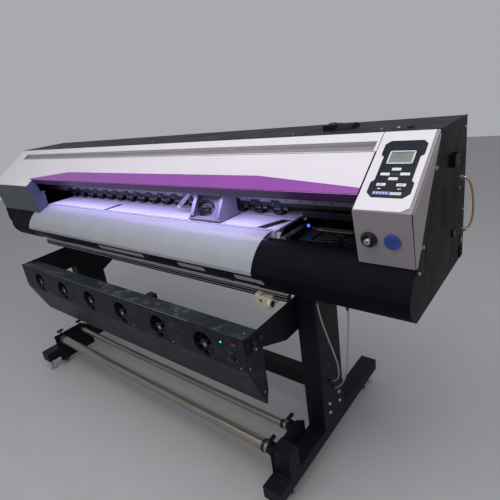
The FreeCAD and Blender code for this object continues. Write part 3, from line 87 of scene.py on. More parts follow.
# ------------------------------------------------------------------ free cords
def lay_cord(name, points, diameter, material):
    """One NURBS cord along its route, both ends going into the machine."""
    data = bpy.data.curves.new(name, "CURVE")
    data.dimensions = "3D"
    spline = data.splines.new("NURBS")
    spline.points.add(len(points) - 1)
    for point, (x, y, z) in zip(spline.points, points):
        point.co = (x, y, z, 1.0)
    spline.order_u = 3
    spline.use_endpoint_u = True
    spline.resolution_u = 10
    data.bevel_depth = diameter / 2
    data.bevel_resolution = 4
    cord = bpy.data.objects.new(name, data)
    bpy.context.scene.collection.objects.link(cord)
    data.materials.append(material)
    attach(cord, "chassis")
    return cord


# Routes of the free cords, each from where it leaves the machine to where it goes back in.
INK_ROUTE = [(1.450, 0.254, 1.238), (1.468, 0.255, 1.236), (1.480, 0.260, 1.223),
             (1.486, 0.269, 1.199), (1.488, 0.282, 1.165), (1.488, 0.297, 1.127),
             (1.486, 0.310, 1.090), (1.482, 0.317, 1.059), (1.476, 0.318, 1.037),
             (1.467, 0.314, 1.022), (1.450, 0.311, 1.018)]
DRYER_ROUTE = [(1.096, -0.226, 0.90645), (1.0965, -0.225, 0.882), (1.095, -0.214, 0.836),
               (1.091, -0.192, 0.778), (1.089, -0.165, 0.712), (1.088, -0.137, 0.642),
               (1.087, -0.109, 0.574), (1.082, -0.084, 0.512), (1.072, -0.062, 0.456),
               (1.058, -0.045, 0.412), (1.040, -0.035, 0.384), (1.024, -0.031, 0.371),
               (1.0104, -0.030, 0.366)]
TAKEUP_ROUTE = [(1.216, -0.226, 0.90645), (1.2165, -0.225, 0.880), (1.211, -0.216, 0.836),
                (1.198, -0.200, 0.778), (1.182, -0.176, 0.714), (1.165, -0.149, 0.648),
                (1.148, -0.122, 0.586), (1.130, -0.096, 0.526), (1.110, -0.072, 0.468),
                (1.087, -0.050, 0.412), (1.061, -0.030, 0.364), (1.034, -0.015, 0.328),
                (1.0109, -0.0092, 0.3126)]


# ------------------------------------------------------------------ materials
def node(tree, kind, **sockets):
    made = tree.nodes.new(kind)
    for name, value in sockets.items():
        made.inputs[name.replace("_", " ")].default_value = value
    return made


def surface(name, colour, rough, metal=0.0, mottle=0.12, grain=900.0, bump=0.03, specular=0.5,
            coat=0.0, wear=None, stretch=None):
    """Painted, moulded or rolled surface: uneven tone, uneven gloss and a fine grain."""
    material = bpy.data.materials.new(name)
    material.use_nodes = True
    tree = material.node_tree
    shader = tree.nodes["Principled BSDF"]
    shader.inputs["Metallic"].default_value = metal
    shader.inputs["Specular IOR Level"].default_value = specular
    shader.inputs["Coat Weight"].default_value = coat
    shader.inputs["Coat Roughness"].default_value = 0.12
    place = tree.nodes.new("ShaderNodeTexCoord")
    source = place.outputs["Object"]
    if stretch:
        mapping = tree.nodes.new("ShaderNodeMapping")
        mapping.inputs["Scale"].default_value = stretch
        tree.links.new(source, mapping.inputs["Vector"])
        source = mapping.outputs["Vector"]
    broad = node(tree, "ShaderNodeTexNoise", Scale=7.0, Detail=5.0, Roughness=0.6)
    fine = node(tree, "ShaderNodeTexNoise", Scale=grain, Detail=2.0)
    tree.links.new(source, broad.inputs["Vector"])
    tree.links.new(source, fine.inputs["Vector"])
    tone = tree.nodes.new("ShaderNodeValToRGB")
    low, high = 1.0 - mottle, 1.0 + mottle
    tone.color_ramp.elements[0].position = 0.3
    tone.color_ramp.elements[1].position = 0.7
    tone.color_ramp.elements[0].color = (*[min(1.0, c * low) for c in colour], 1)
    tone.color_ramp.elements[1].color = (*[min(1.0, c * high) for c in colour], 1)
    tree.links.new(broad.outputs["Fac"], tone.inputs["Fac"])
    colour_out = tone.outputs["Color"]
    if wear:
        colour_out = add_wear(tree, source, colour_out, wear)
    tree.links.new(colour_out, shader.inputs["Base Color"])
    gloss = node(tree, "ShaderNodeMapRange", From_Min=0.3, From_Max=0.7,
                 To_Min=rough * 0.85, To_Max=min(1.0, rough * 1.15))
    tree.links.new(broad.outputs["Fac"], gloss.inputs["Value"])
    tree.links.new(gloss.outputs["Result"], shader.inputs["Roughness"])
    ripple = node(tree, "ShaderNodeBump", Strength=bump, Distance=0.0006)
    tree.links.new(fine.outputs["Fac"], ripple.inputs["Height"])
    tree.links.new(ripple.outputs["Normal"], shader.inputs["Normal"])
    return material


def add_wear(tree, source, under, wear):
    """Scattered scuffs and dust of another colour over the surface."""
    tint, amount, scale = wear
    dust = node(tree, "ShaderNodeTexNoise", Scale=scale, Detail=8.0, Roughness=0.7)
    tree.links.new(source, dust.inputs["Vector"])
    edge = tree.nodes.new("ShaderNodeValToRGB")
    edge.color_ramp.elements[0].position = 0.52
    edge.color_ramp.elements[1].position = 0.72
    edge.color_ramp.elements[1].color = (amount, amount, amount, 1)
    tree.links.new(dust.outputs["Fac"], edge.inputs["Fac"])
    mix = tree.nodes.new("ShaderNodeMix")
    mix.data_type = "RGBA"
    tree.links.new(edge.outputs["Color"], mix.inputs["Factor"])
    tree.links.new(under, mix.inputs["A"])
    mix.inputs["B"].default_value = (*tint, 1)
    return mix.outputs["Result"]


def glow(name, colour, strength):
    """A lit surface with a slightly uneven brightness."""
    material = surface(name, colour, 0.4, mottle=0.05)
    shader = material.node_tree.nodes["Principled BSDF"]
    shader.inputs["Emission Color"].default_value = (*colour, 1)
    shader.inputs["Emission Strength"].default_value = strength
    return material


def dotted(material, pitch, spot, dark, centre):
    """Rows of small holes wrapped round the curved apron, as a darker dot pattern."""
    tree = material.node_tree
    shader = tree.nodes["Principled BSDF"]
    under = shader.inputs["Base Color"].links[0].from_socket
    place = tree.nodes.new("ShaderNodeTexCoord")
    split = tree.nodes.new("ShaderNodeSeparateXYZ")
    tree.links.new(place.outputs["Object"], split.inputs["Vector"])

    def maths(kind, first, second=None):
        made = tree.nodes.new("ShaderNodeMath")
        made.operation = kind
        for socket, value in zip(made.inputs, (first, second)):
            if isinstance(value, float):
                socket.default_value = value
            elif value is not None:
                tree.links.new(value, socket)
        return made.outputs["Value"]

    def from_middle(value):
        return maths("SUBTRACT", maths("FRACT", value), 0.5)

    angle = maths("ARCTAN2", maths("SUBTRACT", split.outputs["Z"], centre[1]),
                  maths("SUBTRACT", split.outputs["Y"], centre[0]))
    across = from_middle(maths("DIVIDE", split.outputs["X"], pitch[0]))
    down = from_middle(maths("DIVIDE", maths("MULTIPLY", angle, centre[2]), pitch[1]))
    distance = maths("ADD", maths("MULTIPLY", across, across), maths("MULTIPLY", down, down))
    hole = maths("LESS_THAN", distance, spot * spot)
    field = maths("GREATER_THAN", split.outputs["X"], -0.955)
    mix = tree.nodes.new("ShaderNodeMix")
    mix.data_type = "RGBA"
    tree.links.new(maths("MULTIPLY", hole, field), mix.inputs["Factor"])
    tree.links.new(under, mix.inputs["A"])
    mix.inputs["B"].default_value = (*dark, 1)
    tree.links.new(mix.outputs["Result"], shader.inputs["Base Color"])


BLACK = (0.0060, 0.0070, 0.0105)
LOOKS = {
    "black_coat": surface("black_coat", BLACK, 0.50, mottle=0.2, specular=0.13),
    "white_coat": surface("white_coat", (0.66, 0.62, 0.67), 0.33, mottle=0.02, grain=600.0,
                          bump=0.02),
    "violet_gloss": surface("violet_gloss", (0.255, 0.055, 0.340), 0.26, mottle=0.03, coat=0.15,
                            bump=0.01),
    "grey_coat": surface("grey_coat", (0.25, 0.225, 0.240), 0.45, mottle=0.03, specular=0.35),
    "bright_platen": surface("bright_platen", (0.50, 0.50, 0.58), 0.38, mottle=0.03,
                             stretch=(1.0, 14.0, 1.0)),
    "pale_sheet": surface("pale_sheet", (0.34, 0.345, 0.38), 0.36, mottle=0.05),
    "rolled_steel": surface("rolled_steel", (0.30, 0.27, 0.235), 0.34, metal=0.85, mottle=0.2,
                            stretch=(1.0, 40.0, 40.0)),
    "pinch_rubber": surface("pinch_rubber", (0.02, 0.02, 0.024), 0.7),
    "carriage_shell": surface("carriage_shell", (0.19, 0.18, 0.24), 0.42, mottle=0.06),
    "cream_plastic": surface("cream_plastic", (0.50, 0.46, 0.36), 0.5, mottle=0.06,
                             wear=((0.25, 0.22, 0.16), 0.5, 60.0)),
    "keypad": surface("keypad", (0.009, 0.010, 0.020), 0.34, mottle=0.1, specular=0.16),
    "key_white": surface("key_white", (0.72, 0.71, 0.73), 0.4, mottle=0.02),
    "plunger": surface("plunger", (0.55, 0.55, 0.58), 0.16, metal=1.0, mottle=0.04),
    "blue_disc": surface("blue_disc", (0.018, 0.055, 0.27), 0.35, mottle=0.06),
    "dark_dryer": surface("dark_dryer", (0.0075, 0.0092, 0.0165), 0.44, mottle=0.3, specular=0.18,
                          wear=((0.09, 0.095, 0.11), 0.35, 26.0)),
    "fan_black": surface("fan_black", (0.006, 0.006, 0.008), 0.45, mottle=0.1, specular=0.3),
    "red_rocker": surface("red_rocker", (0.36, 0.010, 0.010), 0.3, mottle=0.05),
    "knob_black": surface("knob_black", (0.010, 0.010, 0.012), 0.4, mottle=0.1, specular=0.4),
    "amber_hose": surface("amber_hose", (0.42, 0.23, 0.055), 0.3, mottle=0.12, coat=0.3),
    "grey_cord": surface("grey_cord", (0.30, 0.30, 0.31), 0.5, mottle=0.05),
    "screw_steel": surface("screw_steel", (0.42, 0.42, 0.44), 0.3, metal=0.9, mottle=0.1),
    "wheel_rubber": surface("wheel_rubber", (0.012, 0.012, 0.013), 0.7, mottle=0.2,
                            wear=((0.10, 0.095, 0.09), 0.5, 40.0)),
    "zinc": surface("zinc", (0.45, 0.45, 0.47), 0.35, metal=0.9, mottle=0.15),
    "belt": surface("belt", (0.012, 0.012, 0.013), 0.6, mottle=0.1),
}
dotted(LOOKS["pale_sheet"], (0.0095, 0.0100), 0.24, (0.21, 0.21, 0.235), (-0.145, 0.943, 0.167))
SEAM = surface("seam_shadow", (0.004, 0.004, 0.005), 0.7, specular=0.2)
DARK = surface("dark_hardware", (0.008, 0.008, 0.011), 0.38, mottle=0.15, specular=0.4)
EDGE = surface("bare_edge", (0.30, 0.30, 0.33), 0.32, metal=0.8)
GLINT = surface("bright_glint", (0.62, 0.62, 0.66), 0.2, metal=0.9)
LIP = surface("lip_shade", (0.065, 0.024, 0.100), 0.35, mottle=0.04)
GROOVE = surface("groove_shade", (0.22, 0.205, 0.225), 0.42, mottle=0.05)
# A lighter, mottled grey for the upward faces of the dryer's top ledge.
LIGHTER_TOP = surface("dryer_top_lighter", (0.018, 0.021, 0.030), 0.42, mottle=0.35, specular=0.3,
                  wear=((0.15, 0.155, 0.17), 0.75, 16.0))
EDGE_HIGHLIGHT = surface("edge_painted_highlight", (0.16, 0.17, 0.20), 0.4, metal=0.4, mottle=0.4)
RAIL_HIGHLIGHT = surface("rail_painted_highlight", (0.13, 0.13, 0.15), 0.4, metal=0.6)
BELLY = surface("belly_coat", (0.0026, 0.0034, 0.0062), 0.55, mottle=0.2, specular=0.06)
PANEL = surface("panel_coat", (0.0040, 0.0048, 0.0066), 0.50, mottle=0.2, specular=0.09)
HOOD = surface("hood_shade", (0.026, 0.028, 0.042), 0.5, mottle=0.1, specular=0.3)
PORT = surface("port_shade", (0.055, 0.052, 0.075), 0.5, mottle=0.1, specular=0.3)
CHEEK_DARK = surface("chin_shade", (0.084, 0.096, 0.108), 0.45, mottle=0.06, specular=0.3)
BAY_WALL = surface("bay_wall_shade", (0.085, 0.085, 0.185), 0.42, mottle=0.06, specular=0.3)
FLANGE_GREY_AND_BAY_LIGHT = surface("flange_grey_and_painted_bay_light", (0.17, 0.165, 0.22), 0.4, mottle=0.06)
# Painted light: a faint glow for inner faces that are no lamp.
INSIDE_GLOW = glow("beam_inside_painted_glow", (0.25, 0.25, 0.28), 0.35)
# Painted highlight: a near-white for the bead along the groove edge.
HIGHLIGHT_WHITE = surface("rim_painted_highlight", (0.86, 0.85, 0.88), 0.25, mottle=0.02)
LCD = surface("lcd_film", (0.175, 0.20, 0.185), 0.25, mottle=0.03)
LCD_FRAME = surface("lcd_frame", (0.62, 0.66, 0.65), 0.4, mottle=0.03)
INK = surface("print_ink", (0.05, 0.06, 0.05), 0.5)
LABEL_BLUE = surface("label_blue", (0.10, 0.12, 0.42), 0.4, mottle=0.05)
LABEL_PALE = surface("label_pale", (0.50, 0.52, 0.60), 0.4, mottle=0.04)
CARD = surface("pale_card", (0.55, 0.55, 0.58), 0.6, mottle=0.08)
COPPER = surface("brass_part", (0.52, 0.36, 0.14), 0.35, metal=0.9, mottle=0.15)
BLUE_LIGHT = glow("blue_lamp", (0.02, 0.06, 1.0), 5.0)
GREEN_LIGHT = glow("green_lamp", (0.05, 0.8, 0.45), 1.2)
STRIP_LIGHT = glow("strip_lamp", (0.66, 0.58, 1.0), 3.0)
SILVER_PAPER = surface("silver_paper", (0.55, 0.56, 0.58), 0.28, metal=0.6, mottle=0.2)


# ------------------------------------------------------------------ building tools
class Plane:
    """A tilted working plane: x along the machine, u and n across it, in metres."""

    def __init__(self, y, z, tilt):
        self.y, self.z, self.tilt = y, z, math.radians(tilt)

    def __call__(self, x, u, n):
        c, s = math.cos(self.tilt), math.sin(self.tilt)
        return Vector((x, self.y + u * c - n * s, self.z + u * s + n * c))


SLOPE_TILT = 34.2
TOP_EDGE = 1.450
FLAT = Plane(0.0, 0.0, 0.0)
SLOPE = Plane(0.0, TOP_EDGE, SLOPE_TILT)
CHIN = Plane(-0.27211, 1.26507, 9.8)
PLATEN_TOP = 1.110
PINCH_X = [-0.946 + 0.108 * i for i in range(17)]
FAN_X = [-0.70635 + 0.2799 * i for i in range(6)]
FAN_Z = 0.721
DRYER_FRONT = -0.446
PANEL_X = 1.450


class Mould:
    """Collects solids in one mesh, then hands over one finished piece."""

    def __init__(self):
        self.mesh = bmesh.new()
        self.slots = []
        self.current = 0

    def paint(self, material):
        if material not in self.slots:
            self.slots.append(material)
        self.current = self.slots.index(material)
        return self

    def faces(self, corners, loops):
        made = [self.mesh.verts.new(c) for c in corners]
        for loop in loops:
            face = self.mesh.faces.new([made[i] for i in loop])
            face.material_index = self.current

    def prism(self, outline, lift):
        """A closed outline of points, and the same outline moved by lift."""
        count = len(outline)
        corners = [Vector(p) for p in outline] + [Vector(p) + Vector(lift) for p in outline]
        loops = [tuple(range(count))[::-1], tuple(range(count, 2 * count))]
        loops += [(i, (i + 1) % count, (i + 1) % count + count, i + count) for i in range(count)]
        self.faces(corners, loops)

    def box(self, x, u, n, plane=FLAT):
        base = [plane(x[0], u[0], n[0]), plane(x[1], u[0], n[0]), plane(x[1], u[1], n[0]),
                plane(x[0], u[1], n[0])]
        self.prism(base, plane(0, 0, n[1]) - plane(0, 0, n[0]))

    def lathe(self, start, axis, profile, sides=24):
        """Turned shape: profile pairs of (distance along the axis, radius)."""
        axis = Vector(axis).normalized()
        aside = axis.orthogonal().normalized()
        other = axis.cross(aside)
        start = Vector(start)
        rings = []
        for along, radius in profile:
            ring = []
            for i in range(sides):
                angle = 2 * math.pi * i / sides
                ring.append(self.mesh.verts.new(
                    start + axis * along
                    + (aside * math.cos(angle) + other * math.sin(angle)) * max(radius, 1e-5)))
            rings.append(ring)
        for low, high in zip(rings, rings[1:]):
            for i in range(sides):
                face = self.mesh.faces.new([low[i], low[(i + 1) % sides],
                                            high[(i + 1) % sides], high[i]])
                face.material_index = self.current
                face.smooth = True
        for ring in (rings[0][::-1], rings[-1]):
            face = self.mesh.faces.new(ring)
            face.material_index = self.current

    def screw(self, at, axis, radius, height=0.0018):
        """Domed head with a round recess."""
        self.lathe(at, axis, [(0.0, radius), (height * 0.6, radius * 0.95),
                              (height, radius * 0.55), (height * 0.7, radius * 0.28),
                              (height * 0.7, 0.0)], 14)

    def tube(self, points, radius, sides=10):
        points = [Vector(p) for p in points]
        rings = []
        aside = None
        for i, point in enumerate(points):
            run = (points[min(i + 1, len(points) - 1)] - points[max(i - 1, 0)]).normalized()
            aside = run.orthogonal() if aside is None else aside - run * aside.dot(run)
            aside.normalize()
            other = run.cross(aside)
            rings.append([self.mesh.verts.new(point + (aside * math.cos(t) + other * math.sin(t))
                                              * radius)
                          for t in (2 * math.pi * k / sides for k in range(sides))])
        for low, high in zip(rings, rings[1:]):
            for i in range(sides):
                face = self.mesh.faces.new([low[i], low[(i + 1) % sides],
                                            high[(i + 1) % sides], high[i]])
                face.smooth = True
                face.material_index = self.current
        for ring in (rings[0][::-1], rings[-1]):
            self.mesh.faces.new(ring).material_index = self.current

    def done(self, name, body, bevel=0.0, slot=None):
        bmesh.ops.recalc_face_normals(self.mesh, faces=self.mesh.faces)
        data = bpy.data.meshes.new(name)
        self.mesh.to_mesh(data)
        self.mesh.free()
        piece = bpy.data.objects.new(name, data)
        bpy.context.scene.collection.objects.link(piece)
        for material in self.slots:
            data.materials.append(material)
        if bevel:
            rounding = piece.modifiers.new("rounding", "BEVEL")
            rounding.width = bevel
            rounding.segments = 2
            rounding.limit_method = "ANGLE"
            rounding.angle_limit = math.radians(40)
        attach(piece, body)
        return piece


def ease_edges(cad, width):
    """Small rounding on a folded sheet's corners, so that they catch the light."""
    weld = cad.modifiers.new("weld", "WELD")
    weld.merge_threshold = 0.00002
    rounding = cad.modifiers.new("rounding", "BEVEL")
    rounding.width = width
    rounding.segments = 2
    rounding.limit_method = "ANGLE"
    rounding.angle_limit = math.radians(50)


def paint_faces(cad, material, choose):
    """Gives the chosen faces of a CAD node a second material."""
    cad.data.materials.append(material)
    index = len(cad.data.materials) - 1
    for face in cad.data.polygons:
        if choose(face.center, face.normal):
            face.material_index = index


def recoat(name, material):
    """Gives every face of a CAD node one other material."""
    paint_faces(frame["nodes"][name], material, lambda c, n: True)


def dress_cad():
    """Gives each CAD node its slot's material, some faces a shade, and sheets a soft edge."""
    slots = {row["node"]: row["material_slot"] for row in frame["record"]["subparts"]}
    for cad in frame["nodes"].values():
        cad.data.materials.clear()
        cad.data.materials.append(LOOKS[slots[cad["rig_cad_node"]]])
    recoat("belly_covers", BELLY)
    recoat("side_panels", PANEL)
    paint_faces(frame["nodes"]["end_cheeks"], CHEEK_DARK, lambda c, n: c.x < -0.9 and n.y < -0.5)
    paint_faces(frame["nodes"]["end_cheeks"], BAY_WALL, lambda c, n: c.x < -0.9 and n.x > 0.7)
    # Painted bay light: the left upright's inner and front faces take the violet-grey of the
    # flange.
    paint_faces(frame["nodes"]["side_frames"], FLANGE_GREY_AND_BAY_LIGHT, lambda c, n: -1.2 < c.x < -0.9
                and (n.x > 0.7 or n.y < -0.7) and c.z > 1.10)
    for name in ("front_cover", "top_fascia", "right_end_cap", "dryer_housing",
                 "side_panels", "rear_cover", "carriage", "legs", "roll_brackets", "front_beam"):
        ease_edges(frame["nodes"][name], 0.0009)


# ------------------------------------------------------------------ lights
def add_area(name, place, target, size, power, colour=(1, 1, 1)):
    """A rectangular lamp at place, turned towards target."""
    data = bpy.data.lights.new(name, "AREA")
    data.shape = "RECTANGLE"
    data.size, data.size_y = size
    data.energy = power
    data.color = colour
    lamp = bpy.data.objects.new(name, data)
    bpy.context.scene.collection.objects.link(lamp)
    aim = Vector(target) - Vector(place)
    lamp.rotation_euler = aim.to_track_quat("-Z", "Y").to_euler()
    lamp.location = place
    return lamp


def add_studio():
    """World, three soft lamps, the violet strip over the platen and a floor."""
    world = bpy.data.worlds.new("studio")
    world.use_nodes = True
    world.node_tree.nodes["Background"].inputs["Color"].default_value = (0.93, 0.95, 1.0, 1)
    world.node_tree.nodes["Background"].inputs["Strength"].default_value = 0.42
    bpy.context.scene.world = world
    bpy.context.scene.view_settings.view_transform = "Standard"
    add_area("ceiling", (0.9, -0.9, 3.6), (0.4, -0.1, 1.2), (4.0, 2.2), 70)
    add_area("front", (1.6, -4.2, 2.4), (0.1, 0.0, 0.9), (3.0, 2.0), 16)
    add_area("right", (4.4, 0.8, 2.3), (1.0, 0.1, 1.0), (2.0, 2.0), 12)
    strip = add_area("bay_strip", (-0.05, -0.150, 1.262), (-0.05, -0.100, 1.10), (1.84, 0.02), 3.1,
                     (0.60, 0.54, 1.0))
    strip.rotation_euler = (math.radians(16), 0.0, 0.0)
    strip.data.spread = math.radians(125)
    mesh = bpy.data.meshes.new("floor")
    mesh.from_pydata([(-9, -9, 0), (9, -9, 0), (9, 9, 0), (-9, 9, 0)], [], [(0, 1, 2, 3)])
    floor = bpy.data.objects.new("floor", mesh)
    bpy.context.scene.collection.objects.link(floor)
    floor.data.materials.append(surface("floor_paint", (0.42, 0.42, 0.43), 0.6, mottle=0.02))


# ------------------------------------------------------------------ covers
def cover_details():
    """Seams between the white panels, a painted highlight along the groove edge and the folded lip.
    """
    seams = Mould().paint(SEAM)
    seams.box((1.2735, 1.2752), (-0.2700, -0.0030), (-0.0030, 0.0003), SLOPE)
    seams.box((-1.305, 1.2735), (-0.0925, -0.0912), (-0.0030, 0.0003), SLOPE)
    seams.box((1.2700, 1.2722), (-0.2690, -0.0930), (-0.0030, 0.0005), SLOPE)
    seams.done("panel_seams", "chassis")
    # Painted highlight: a near-white bead along the lower edge of the groove.
    edge = Mould().paint(HIGHLIGHT_WHITE)
    edge.tube([SLOPE(-1.300, -0.0897, 0.0002), SLOPE(0.45, -0.0897, 0.0002),
               SLOPE(1.262, -0.0897, -0.0012)], 0.0017, 8)
    edge.done("groove_highlight_bead", "chassis")
    paint_faces(frame["nodes"]["cover_trim"], LIP, lambda c, n: c.z < 1.2975)
    sine, cosine = math.sin(math.radians(SLOPE_TILT)), math.cos(math.radians(SLOPE_TILT))
    paint_faces(frame["nodes"]["top_fascia"], GROOVE,
                lambda c, n: c.y * sine - (c.z - TOP_EDGE) * cosine > 0.004 and n.z > -0.2)
    screws = Mould().paint(LOOKS["screw_steel"])
    for x in (-0.88, -0.44, 0.0, 0.44, 0.88, 1.24):
        screws.screw((x, 0.06, 1.450), (0, 0, 1), 0.005)
        screws.screw((x, 0.315, 1.449), (0, 0, 1), 0.005)
    screws.done("top_screws", "chassis")
    top = Mould().paint(SEAM)
    for x in (-1.0, 0.0, 0.94):
        top.box((x - 0.0008, x + 0.0008), (0.02, 0.30), (1.4495, 1.4503))
    top.box((-1.42, 1.42), (0.3295, 0.3304), (1.298, 1.2996))
    for x in (-0.9, -0.3, 0.3, 0.9):
        for row in range(5):
            top.box((x - 0.11, x + 0.11), (0.3295, 0.3304),
                    (1.205 + 0.014 * row, 1.2095 + 0.014 * row))
    top.done("top_seams_and_rear_vents", "chassis")


def top_fittings():
    """Latch knob and small fittings on top of the rear cover."""
    part = Mould().paint(DARK)
    part.box((0.990, 1.035), (0.118, 0.174), (1.4665, 1.4690))
    part.lathe((1.0125, 0.146, 1.468), (0, 0, 1), [(0, 0.017), (0.004, 0.016), (0.0055, 0.010)])
    part.lathe((1.335, 0.07, 1.4495), (0, 0, 1), [(0, 0.012), (0.006, 0.011), (0.0085, 0.004)])
    part.paint(COPPER)
    part.lathe((1.300, 0.055, 1.4495), (0, 0, 1), [(0, 0.006), (0.005, 0.005), (0.006, 0.002)])
    part.done("top_fittings", "chassis", bevel=0.0008)


# ------------------------------------------------------------------ keypad
def direction_mark(mould, x, u, kind):
    """Tiny printed mark on a key, raised a hair above it."""
    n = (0.0026, 0.00285)
    shapes = {
        "up": [(-0.002, -0.0012), (0.002, -0.0012), (0.0, 0.0018)],
        "down": [(-0.002, 0.0012), (0.0, -0.0018), (0.002, 0.0012)],
        "left": [(0.0016, -0.0016), (0.0016, 0.0016), (-0.002, 0.0)],
        "right": [(-0.0016, -0.0016), (0.002, 0.0), (-0.0016, 0.0016)],
    }
    if kind in shapes:
        mould.prism([SLOPE(x + a, u + b, n[0]) for a, b in shapes[kind]],
                    SLOPE(0, 0, n[1]) - SLOPE(0, 0, n[0]))
        mould.box((x - 0.010, x - 0.0045), (u - 0.0006, u + 0.0006), n, SLOPE)
        mould.box((x + 0.0045, x + 0.010), (u - 0.0006, u + 0.0006), n, SLOPE)
        return
    for row in (-0.0017, 0.0017):
        mould.box((x - 0.009, x + 0.009 * (0.5 if kind == "pause" else 0.8)),
                  (u + row - 0.0006, u + row + 0.0006), n, SLOPE)


def keypad():
    """Marks on the keys, the display and its frame, and the coloured strips of the keypad."""
    keys = {"key_up": (1.361, -0.169, "up"), "key_left": (1.332, -0.189, "left"),
            "key_right": (1.391, -0.188, "right"), "key_down": (1.361, -0.207, "down"),
            "key_pause": (1.332, -0.230, "pause"), "key_enter": (1.391, -0.230, "enter")}
    for name, (x, u, kind) in keys.items():
        mark = Mould().paint(INK)
        direction_mark(mark, x, u, kind)
        mark.done(f"{name}_mark", name)
    face = Mould().paint(LCD_FRAME)
    low, high, left, right = -0.147, -0.094, 1.3225, 1.4005
    for x, u in (((left, right), (low, low + 0.0035)), ((left, right), (high - 0.0035, high)),
                 ((left, left + 0.004), (low, high)), ((right - 0.004, right), (low, high))):
        face.box(x, u, (0.0012, 0.0032), SLOPE)
    face.paint(LCD).box((left + 0.003, right - 0.003), (low + 0.003, high - 0.003),
                        (0.0012, 0.0026), SLOPE)
    face.paint(INK)
    for row, reach in ((0.010, 0.040), (0.019, 0.028), (0.028, 0.048)):
        face.box((left + 0.012, left + 0.012 + reach), (high - row - 0.0012, high - row),
                 (0.0025, 0.00272), SLOPE)
    face.box((left + 0.004, right - 0.004), (high - 0.0065, high - 0.004), (0.0025, 0.0028), SLOPE)
    face.paint(LOOKS["key_white"])
    for x in (1.330, 1.389):
        face.box((x - 0.005, x + 0.005), (-0.2465, -0.2435), (0.0010, 0.0018), SLOPE)
    face.paint(LABEL_BLUE).box((1.3145, 1.366), (-0.2680, -0.2550), (0.0010, 0.0016), SLOPE)
    face.paint(LABEL_PALE).box((1.367, 1.400), (-0.2675, -0.2570), (0.0010, 0.0016), SLOPE)
    for i in range(5):
        face.box((1.318 + 0.009 * i, 1.3235 + 0.009 * i), (-0.2645, -0.2585),
                 (0.0015, 0.00175), SLOPE)
    face.paint(DARK).box((1.350, 1.372), (-0.1935, -0.1825), (0.0010, 0.0015), SLOPE)
    face.done("keypad_face", "chassis", slot="keypad")
    border = Mould().paint(SEAM)
    for side in (1.2962, 1.4244):
        border.box((side, side + 0.0012), (-0.105, -0.062), (0.0002, 0.0014), SLOPE)
    border.done("keypad_edge", "chassis")


def chin_controls():
    """Ribbed bezel, chromed plunger and the ringed blue dial on the right chin panel."""
    out = CHIN(0, -1, 0) - CHIN(0, 0, 0)
    seat = CHIN(1.317, -0.0005, -0.095)
    bezel = Mould().paint(LOOKS["knob_black"])
    bezel.lathe(seat, out, [(0.0, 0.0250), (0.003, 0.0252), (0.005, 0.0238), (0.0085, 0.0232),
                            (0.0098, 0.0215), (0.0100, 0.0175), (0.0088, 0.0165),
                            (0.0088, 0.0110), (0.0060, 0.0098)], 36)
    for i in range(18):
        angle = 2 * math.pi * i / 18
        x, n = 1.317 + 0.0205 * math.cos(angle), -0.095 + 0.0205 * math.sin(angle)
        bezel.box((x - 0.0012, x + 0.0012), (-0.0108, -0.0098), (n - 0.0012, n + 0.0012), CHIN)
    bezel.done("button_bezel_rings", "chassis", slot="knob_black")
    plunger = Mould().paint(LOOKS["plunger"])
    plunger.lathe(CHIN(1.317, -0.0060, -0.095), out,
                  [(0.0, 0.0086), (0.004, 0.0086), (0.0050, 0.0070), (0.0080, 0.0070),
                   (0.0088, 0.0102), (0.0135, 0.0104), (0.0150, 0.0092), (0.0152, 0.0060)], 8)
    plunger.paint(SEAM)
    plunger.lathe(CHIN(1.317, -0.0209, -0.095), out, [(0.0, 0.0048), (0.0005, 0.0046)], 16)
    plunger.paint(LOOKS["plunger"])
    plunger.lathe(CHIN(1.317, -0.0213, -0.095), out, [(0.0, 0.0022), (0.0008, 0.0018)], 12)
    stem = plunger.done("chromed_plunger", "power_button", bevel=0.0005, slot="plunger")
    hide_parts("power_button")
    rings = Mould().paint(LOOKS["blue_disc"])
    start = CHIN(1.387, -0.0055, -0.096)
    rings.lathe(start, out, [(-0.0045, 0.0240), (-0.0005, 0.0240), (0.0003, 0.0232),
                             (0.0006, 0.0205), (0.0001, 0.0196), (0.0001, 0.0172),
                             (0.0008, 0.0164), (0.0008, 0.0120), (0.0001, 0.0112),
                             (0.0001, 0.0090)], 40)
    rings.paint(SEAM)
    rings.lathe(start, out, [(0.0, 0.0068), (0.0012, 0.0064), (0.0013, 0.0030)], 24)
    rings.paint(DARK)
    for angle in (0.6, 2.7, 4.8):
        rings.screw(start + (CHIN(math.cos(angle) * 0.0185, 0, math.sin(angle) * 0.0185)
                             - CHIN(0, 0, 0)), out, 0.0012, 0.0007)
    rings.done("blue_dial_rings", "blue_dial", slot="blue_disc")


